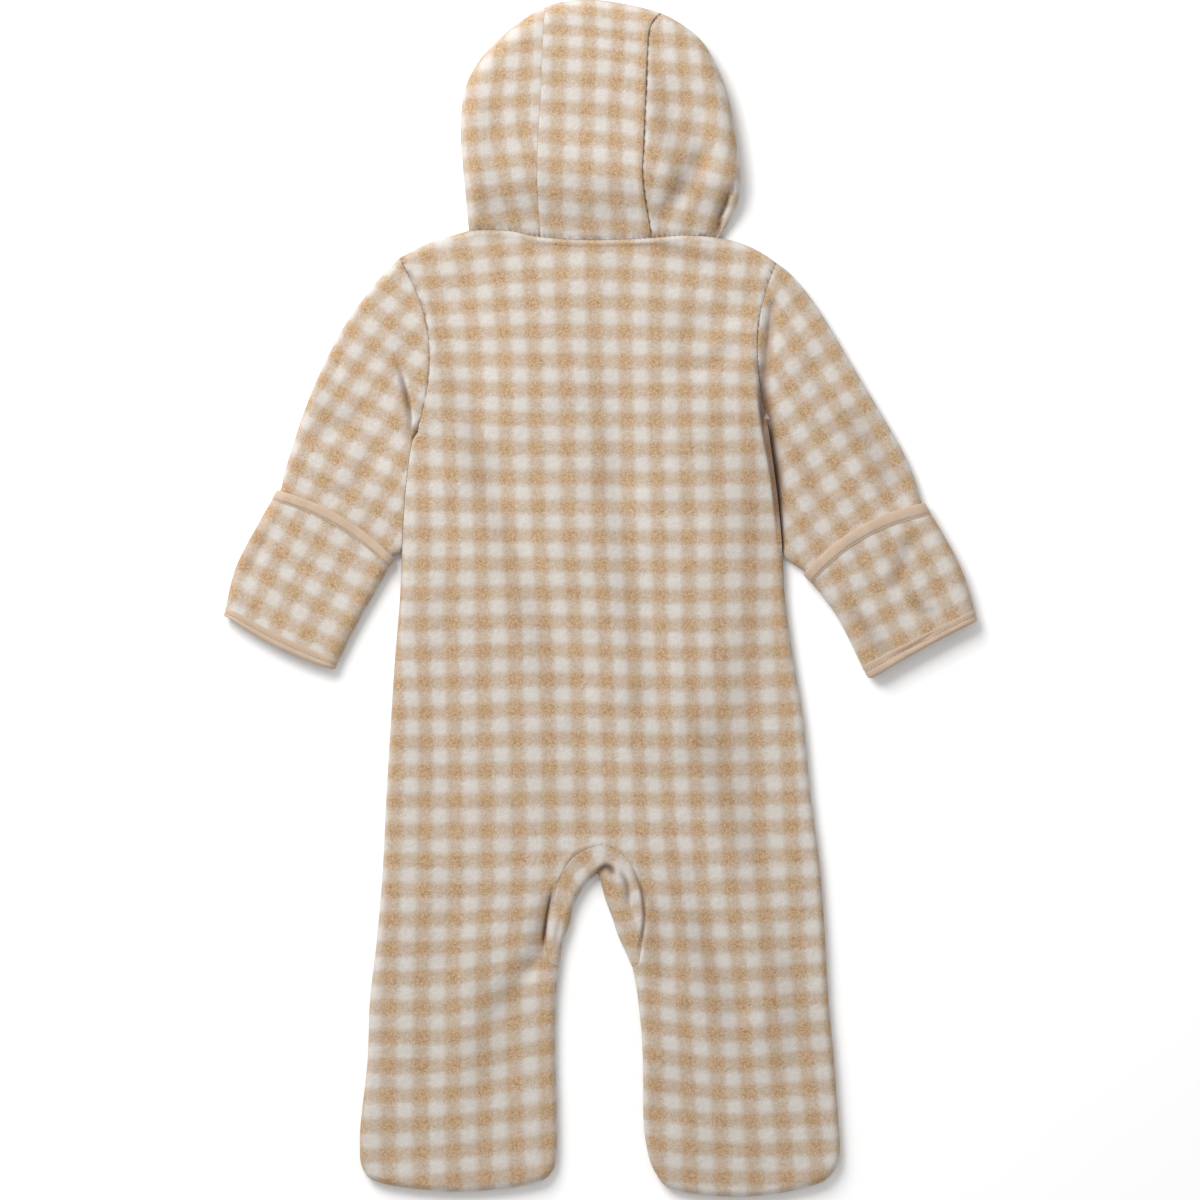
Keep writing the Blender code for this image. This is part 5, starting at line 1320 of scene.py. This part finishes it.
def buildHood():
    rolled = rollShares * suit["hoodRoll"] / hood["seamLength"]
    shares = np.concatenate([rolled, np.linspace(rolled[-1], 1.0, hood["rows"])[1:]])
    leftCrown, rightCrown = (hood["crown"][turn] * finePieces for turn in (1, -1))
    edge = {1: alongCurve(hoodLine[:leftCrown + 1][::-1], shares), -1: alongCurve(hoodLine[rightCrown:], shares)}
    seam = {turn: alongCurve(hoodSeamLine[turn], shares) for turn in (1, -1)}
    for side, turn in sides.items():
        buildHoodSide(side, turn, shares, edge[turn], seam[turn])
    # The centre panel's columns are closer together beside its two seams.
    columns = 0.5 - 0.5 * np.cos(np.linspace(0, math.pi, hood["centreColumns"]))
    crown = alongCurve(hoodLine[leftCrown:rightCrown + 1], columns)
    inside = (wholeNeck[:, 0] > seam[1][-1][0] + 1 * mm) & (wholeNeck[:, 0] < seam[-1][-1][0] - 1 * mm)
    neck = alongCurve(np.vstack([seam[1][-1], wholeNeck[inside], seam[-1][-1]]), columns)
    top = []
    for row, share in enumerate(shares):
        line, first, last = (seam[1][at] + (seam[-1][at] - seam[1][at]) * columns[:, None] for at in (row, 0, -1))
        top.append(line + (crown - first) * (1 - ease(share / 0.7)) + (neck - last) * ease((share - 0.5) / 0.5))
    brim = np.array([faceEdge(0.5 + hood["foreheadShare"] * (2 * column - 1)) for column in columns])
    down = np.concatenate([rollShares * suit["hoodRoll"] / hood["brimDepth"], np.linspace(0.45, 1, hood["brimRows"])])
    under = [crown + (brim - crown) * share for share in down]
    piece = buildCloth("hoodCentre", [laySuit(top[::-1], True, hoodSeams), laySuit(under, False)],
                       fleeceCloth, hoodChecks[0])
    dress(piece, "fleece", "suit", "hood_centre")


def buildHoodSide(side, turn, shares, edge, seam):
    outside = turn * neckLine[turn][:, 0] < turn * seam[-1][0] - 1 * mm
    neck = np.vstack([neckLine[turn][outside], seam[-1]])
    front = frontNeck(turn)

    def rowTo(row, far, lastRow):
        # A row from the outline to the far end, which becomes the neck's line at the last.
        places = hoodColumns(np.linalg.norm(far - edge[row]))[:, None]
        straight = lastRow[0] + (lastRow[-1] - lastRow[0]) * places
        bent = (alongCurve(lastRow, places[:, 0]) - straight) * ease((shares[row] - 0.6) / 0.4)
        return edge[row] + (far - edge[row]) * places + bent

    topRows, underRows = [], []
    for row, share in enumerate(shares):
        brim = faceEdge(0.5 - turn * (hood["foreheadShare"] + (0.5 - hood["foreheadShare"]) * share))
        topRows.append(rowTo(row, seam[row], neck)[::-1])
        underRows.append(rowTo(row, brim, front))
    patches = [laySuit(topRows, True, hoodSeams), laySuit(underRows, False)]
    piece = buildCloth("hoodSide_" + side, patches, fleeceCloth, hoodChecks[turn])
    dress(piece, "fleece", "suit", "hood_" + side)


# Zip: two woven tapes, moulded teeth, the slider and its pull tab

zipParts = {
    "tapeWidth": 12.0 * mm,
    "tapeThickness": 0.65 * mm,
    "tapesApart": 1.2 * mm,
    "tapeZ": 3.4 * mm,
    "tapeWave": 0.08 * mm,
    "tapeUnder": 1.0 * mm,      # from the zip's bottom to the tapes' ends
    "toothPitch": 2.5 * mm,
    "toothLength": 3.1 * mm,    # from the middle of the zip outwards
    "toothWidth": 1.35 * mm,
    "toothZ": 2.35 * mm,
    "toothHeight": 1.25 * mm,
    "chainTop": 204.6 * mm,
    "sliderTop": 214.0 * mm,
    "sliderLength": 9.0 * mm,
    "sliderWidth": 7.0 * mm,
    "axisY": 206.5 * mm,
    "axisZ": 0.75 * mm,
    "pullThickness": 0.8 * mm,
}


def plateMesh(name, outline, low, high, bevel=0.0, hole=None):
    # A flat plate from an outline in x and y, with rounded edges if it has a bevel.
    shape = bmesh.new()
    lower, ring = ([shape.verts.new((x, y, low)) for x, y in line] for line in (outline, hole or []))
    if ring:
        for index in range(len(lower)):
            after = (index + 1) % len(lower)
            shape.faces.new([lower[index], lower[after], ring[after], ring[index]])
    else:
        shape.faces.new(lower)
    made = bmesh.ops.extrude_face_region(shape, geom=shape.faces[:])
    bmesh.ops.translate(shape, vec=(0, 0, high - low),
                        verts=[item for item in made["geom"] if isinstance(item, bmesh.types.BMVert)])
    bmesh.ops.recalc_face_normals(shape, faces=shape.faces)
    if bevel:
        sharp = [edge for edge in shape.edges if edge.calc_face_angle(0) > math.radians(60)]
        bmesh.ops.bevel(shape, geom=sharp, offset=bevel, segments=2, affect="EDGES", profile=0.6)
    mesh = bpy.data.meshes.new(name)
    shape.to_mesh(mesh)
    shape.free()
    return mesh


def roundedBox(lowX, highX, lowY, highY, corner, steps=4):
    points = []
    for x, y, start in ((highX, highY, 0), (lowX, highY, 90), (lowX, lowY, 180), (highX, lowY, 270)):
        middleX = x - corner if x == highX else x + corner
        middleY = y - corner if y == highY else y + corner
        for step in range(steps + 1):
            angle = math.radians(start + 90 * step / steps)
            points.append((middleX + corner * math.cos(angle), middleY + corner * math.sin(angle)))
    return points


def mirrored(half):
    # The whole outline, from its half with x above zero.
    return half + [(-x, y) for x, y in reversed(half) if x]


def buildTapes():
    for side, turn in (("left", -1), ("right", 1)):
        across = np.linspace(zipParts["tapesApart"] / 2, zipParts["tapesApart"] / 2 + zipParts["tapeWidth"], 9)
        down = np.linspace(zipShape["bottom"] + zipParts["tapeUnder"], zipShape["top"], 140)
        x, y = np.meshgrid(turn * across, down)
        wave = zipParts["tapeWave"] * np.sin(y / (7 * mm) + turn) * (np.abs(x) / zipParts["tapeWidth"])
        patch = {"outer": np.stack([x, y, zipParts["tapeZ"] + wave], axis=2),
                 "normal": np.dstack([0 * x, 0 * x, 0 * x - 1]),
                 "flat": np.stack([x, y], axis=2), "shade": np.zeros((*x.shape, 1))}
        tape = buildCloth("zipTape_" + side, [patch], tapeCloth, straightChecks(0.0, 0.0),
                          thickness=zipParts["tapeThickness"], gap=0.0)
        dress(tape, "zip_tape", "suit", "zip_tape_" + side)


def toothMesh():
    # One moulded tooth: a head at the middle, a waist and a foot that grips the tape.
    width, length, half = zipParts["toothWidth"], zipParts["toothLength"], zipParts["toothHeight"] / 2
    upper = [(length - 0.2 * mm, 0.5), (length - 1.0 * mm, 0.3), (0.7 * mm, 0.3), (0.2 * mm, 0.5),
             (-0.5 * mm, 0.5), (-0.9 * mm, 0.32)]
    outline = [(x, -share * width) for x, share in reversed(upper)] + [(x, share * width) for x, share in upper]
    return plateMesh("tooth", outline, -half, half)


def teethTree():
    tree, given, even = startTree("zipTeethAlongLine", [
        ("Line", "NodeSocketGeometry", None), ("Pitch", "NodeSocketFloat", zipParts["toothPitch"]),
        ("Tooth", "NodeSocketObject", None), ("Plastic", "NodeSocketMaterial", None)], "Teeth")
    tooth = addNode(tree, "GeometryNodeObjectInfo", {"Object": given["Tooth"], "As Instance": True})
    # The other row is turned round and stands half a pitch further on.
    offset = addNode(tree, "ShaderNodeCombineXYZ", {"Y": addHalf(tree, given["Pitch"])}).outputs[0]
    moved = addNode(tree, "GeometryNodeSetPosition", {"Geometry": even, "Offset": offset}).outputs[0]
    join = addNode(tree, "GeometryNodeJoinGeometry")
    for points, angle in ((even, 0.0), (moved, math.pi)):
        placed = addNode(tree, "GeometryNodeInstanceOnPoints", {
            "Points": points, "Instance": tooth.outputs["Geometry"], "Rotation": (0.0, 0.0, angle)})
        tree.links.new(placed.outputs[0], join.inputs[0])
    return endTree(tree, join.outputs[0], given["Plastic"])


def buildTeeth():
    helper = bpy.data.objects.new("toothHelper", toothMesh())
    bpy.context.collection.objects.link(helper)
    bottom, top = zipShape["bottom"] + 2.2 * mm, zipParts["chainTop"] - 2.0 * mm
    mesh = bpy.data.meshes.new("zipTeethLine")
    mesh.from_pydata([(0, bottom, zipParts["toothZ"]), (0, top, zipParts["toothZ"])], [(0, 1)], [])
    teeth = madeByNodes("zipTeeth", mesh, teethTree(), teethPlastic, {
        "Pitch": zipParts["toothPitch"], "Tooth": helper, "Plastic": teethPlastic})
    bpy.data.objects.remove(helper)
    dress(teeth, "zip_teeth", "suit", "zip_chain")


def buildSlider():
    # Two plates with a neck between them, and two lugs that hold the pull tab.
    top, half = zipParts["sliderTop"], zipParts["sliderWidth"] / 2
    bottom, axis = top - zipParts["sliderLength"], zipParts["axisY"]
    wing = [(-half * 0.82, bottom + 0.3 * mm), (-half * 0.84, bottom + 3 * mm), (-half * 0.97, top - 3.2 * mm),
            (-half * 0.8, top - 0.7 * mm), (-1.4 * mm, top - 0.1 * mm), (0, top - 0.9 * mm)]
    plate = smoothCurve(mirrored(wing), 3)
    neck = roundedBox(-1.0 * mm, 1.0 * mm, top - 2.6 * mm, top - 0.9 * mm, 0.6 * mm)
    left, right = (roundedBox(low * mm, (low + 0.8) * mm, axis - 0.8 * mm, axis + 0.8 * mm, 0.25 * mm)
                   for low in (-2.3, 1.5))
    shape = bmesh.new()
    for outline, low, high, bevel in ((plate, 1.5, 1.95, 0.14), (plate, 2.6, 3.0, 0.14), (neck, 1.8, 2.8, 0.1),
                                      (left, 0.25, 1.6, 0.1), (right, 0.25, 1.6, 0.1)):
        part = plateMesh("sliderPart", outline, low * mm, high * mm, bevel * mm)
        shape.from_mesh(part)
        bpy.data.meshes.remove(part)
    mesh = bpy.data.meshes.new("zipSlider")
    shape.to_mesh(mesh)
    shape.free()
    slider = finishPiece("zipSlider", mesh, sliderMetal, sharp=35)
    dress(slider, "zip_metal", "suit", "zip_slider")


# Half of the pull tab's outline and of its hole, from the hinge down, in mm.
pullOutline = [(1.2, -18.0), (2.1, -17.3), (2.5, -15.8), (2.5, -4.6), (2.3, -3.4), (1.2, -2.0), (1.2, 0.3)]
pullHole = [(0.5, -15.4), (1.0, -15.0), (1.2, -14.2), (1.2, -8.4), (1.15, -7.6), (1.05, -7.0), (1.0, -6.4)]


def buildPull():
    z, half = zipParts["axisZ"], zipParts["pullThickness"] / 2
    outline, hole = ([(x * mm, zipParts["axisY"] + y * mm) for x, y in mirrored(line)]
                     for line in (pullOutline, pullHole))
    mesh = plateMesh("pullTab", outline, z - half, z + half, 0.12 * mm, hole)
    pull = finishPiece("pullTab", mesh, sliderMetal, sharp=35)
    dress(pull, "zip_metal", "pull_tab", "zip_pull")


print("building the body")
buildBody()
buildGusset()
print("building the sleeves, flaps and cuffs")
for sideName, direction in sides.items():
    buildSleeve(sideName, direction)
print("building the hood")
buildHood()
print("building the zip")
buildTapes()
buildTeeth()
buildSlider()
buildPull()

# Floor, light and camera
studio = {
    "floor": tone(250, 250, 250),
    "floorDark": tone(249, 249, 249),
    "floorHalf": 6.0,
    "floorZ": -0.0002,
    "skyStrength": 0.61,
    "keyEnergy": 56.0,
    "keySize": 1.4,
    "keyPlace": (-1.0, 1.35, 1.5),
    "cameraHeight": 8.0,
    "sensor": 36.0,
    "frameWidth": 0.792,        # what the picture shows across
    "centre": (-0.33 * mm, -0.99 * mm),
}


def buildStudio():
    size, z = studio["floorHalf"], studio["floorZ"]
    mesh = bpy.data.meshes.new("floor")
    mesh.from_pydata([(-size, -size, z), (size, -size, z), (size, size, z), (-size, size, z)], [], [(0, 1, 2, 3)])
    material, tree, shader, place = newMaterial("paleFloor", 0.9)
    mottle = addRamp(tree, addNoise(tree, place, 0.4), [(0.3, studio["floorDark"]), (0.7, studio["floor"])])
    tree.links.new(mottle, shader.inputs["Base Color"])
    floor = finishPiece("floor", mesh, material)
    world = bpy.data.worlds.new("softSky")
    world.use_nodes = True
    background = world.node_tree.nodes["Background"]
    background.inputs["Color"].default_value = (1.0, 1.0, 1.0, 1.0)
    background.inputs["Strength"].default_value = studio["skyStrength"]
    bpy.context.scene.world = world
    key = bpy.data.lights.new("keyLight", "AREA")
    key.shape = "SQUARE"
    key.size = studio["keySize"]
    key.energy = studio["keyEnergy"]
    lamp = bpy.data.objects.new("keyLight", key)
    x, y, height = lamp.location = studio["keyPlace"]
    lamp.rotation_euler = (math.atan2(math.hypot(x, y), height), 0.0, math.atan2(x, -y))
    bpy.context.collection.objects.link(lamp)
    lens = bpy.data.cameras.new("camera")
    lens.sensor_width = studio["sensor"]
    lens.lens = studio["sensor"] * studio["cameraHeight"] / studio["frameWidth"]
    lens.clip_end = 60.0
    camera = bpy.data.objects.new("camera", lens)
    camera.location = (*studio["centre"], studio["cameraHeight"])
    bpy.context.collection.objects.link(camera)
    bpy.context.scene.camera = camera
    bpy.context.scene.view_settings.view_transform = "Standard"


print("setting up floor, light and camera")
buildStudio()
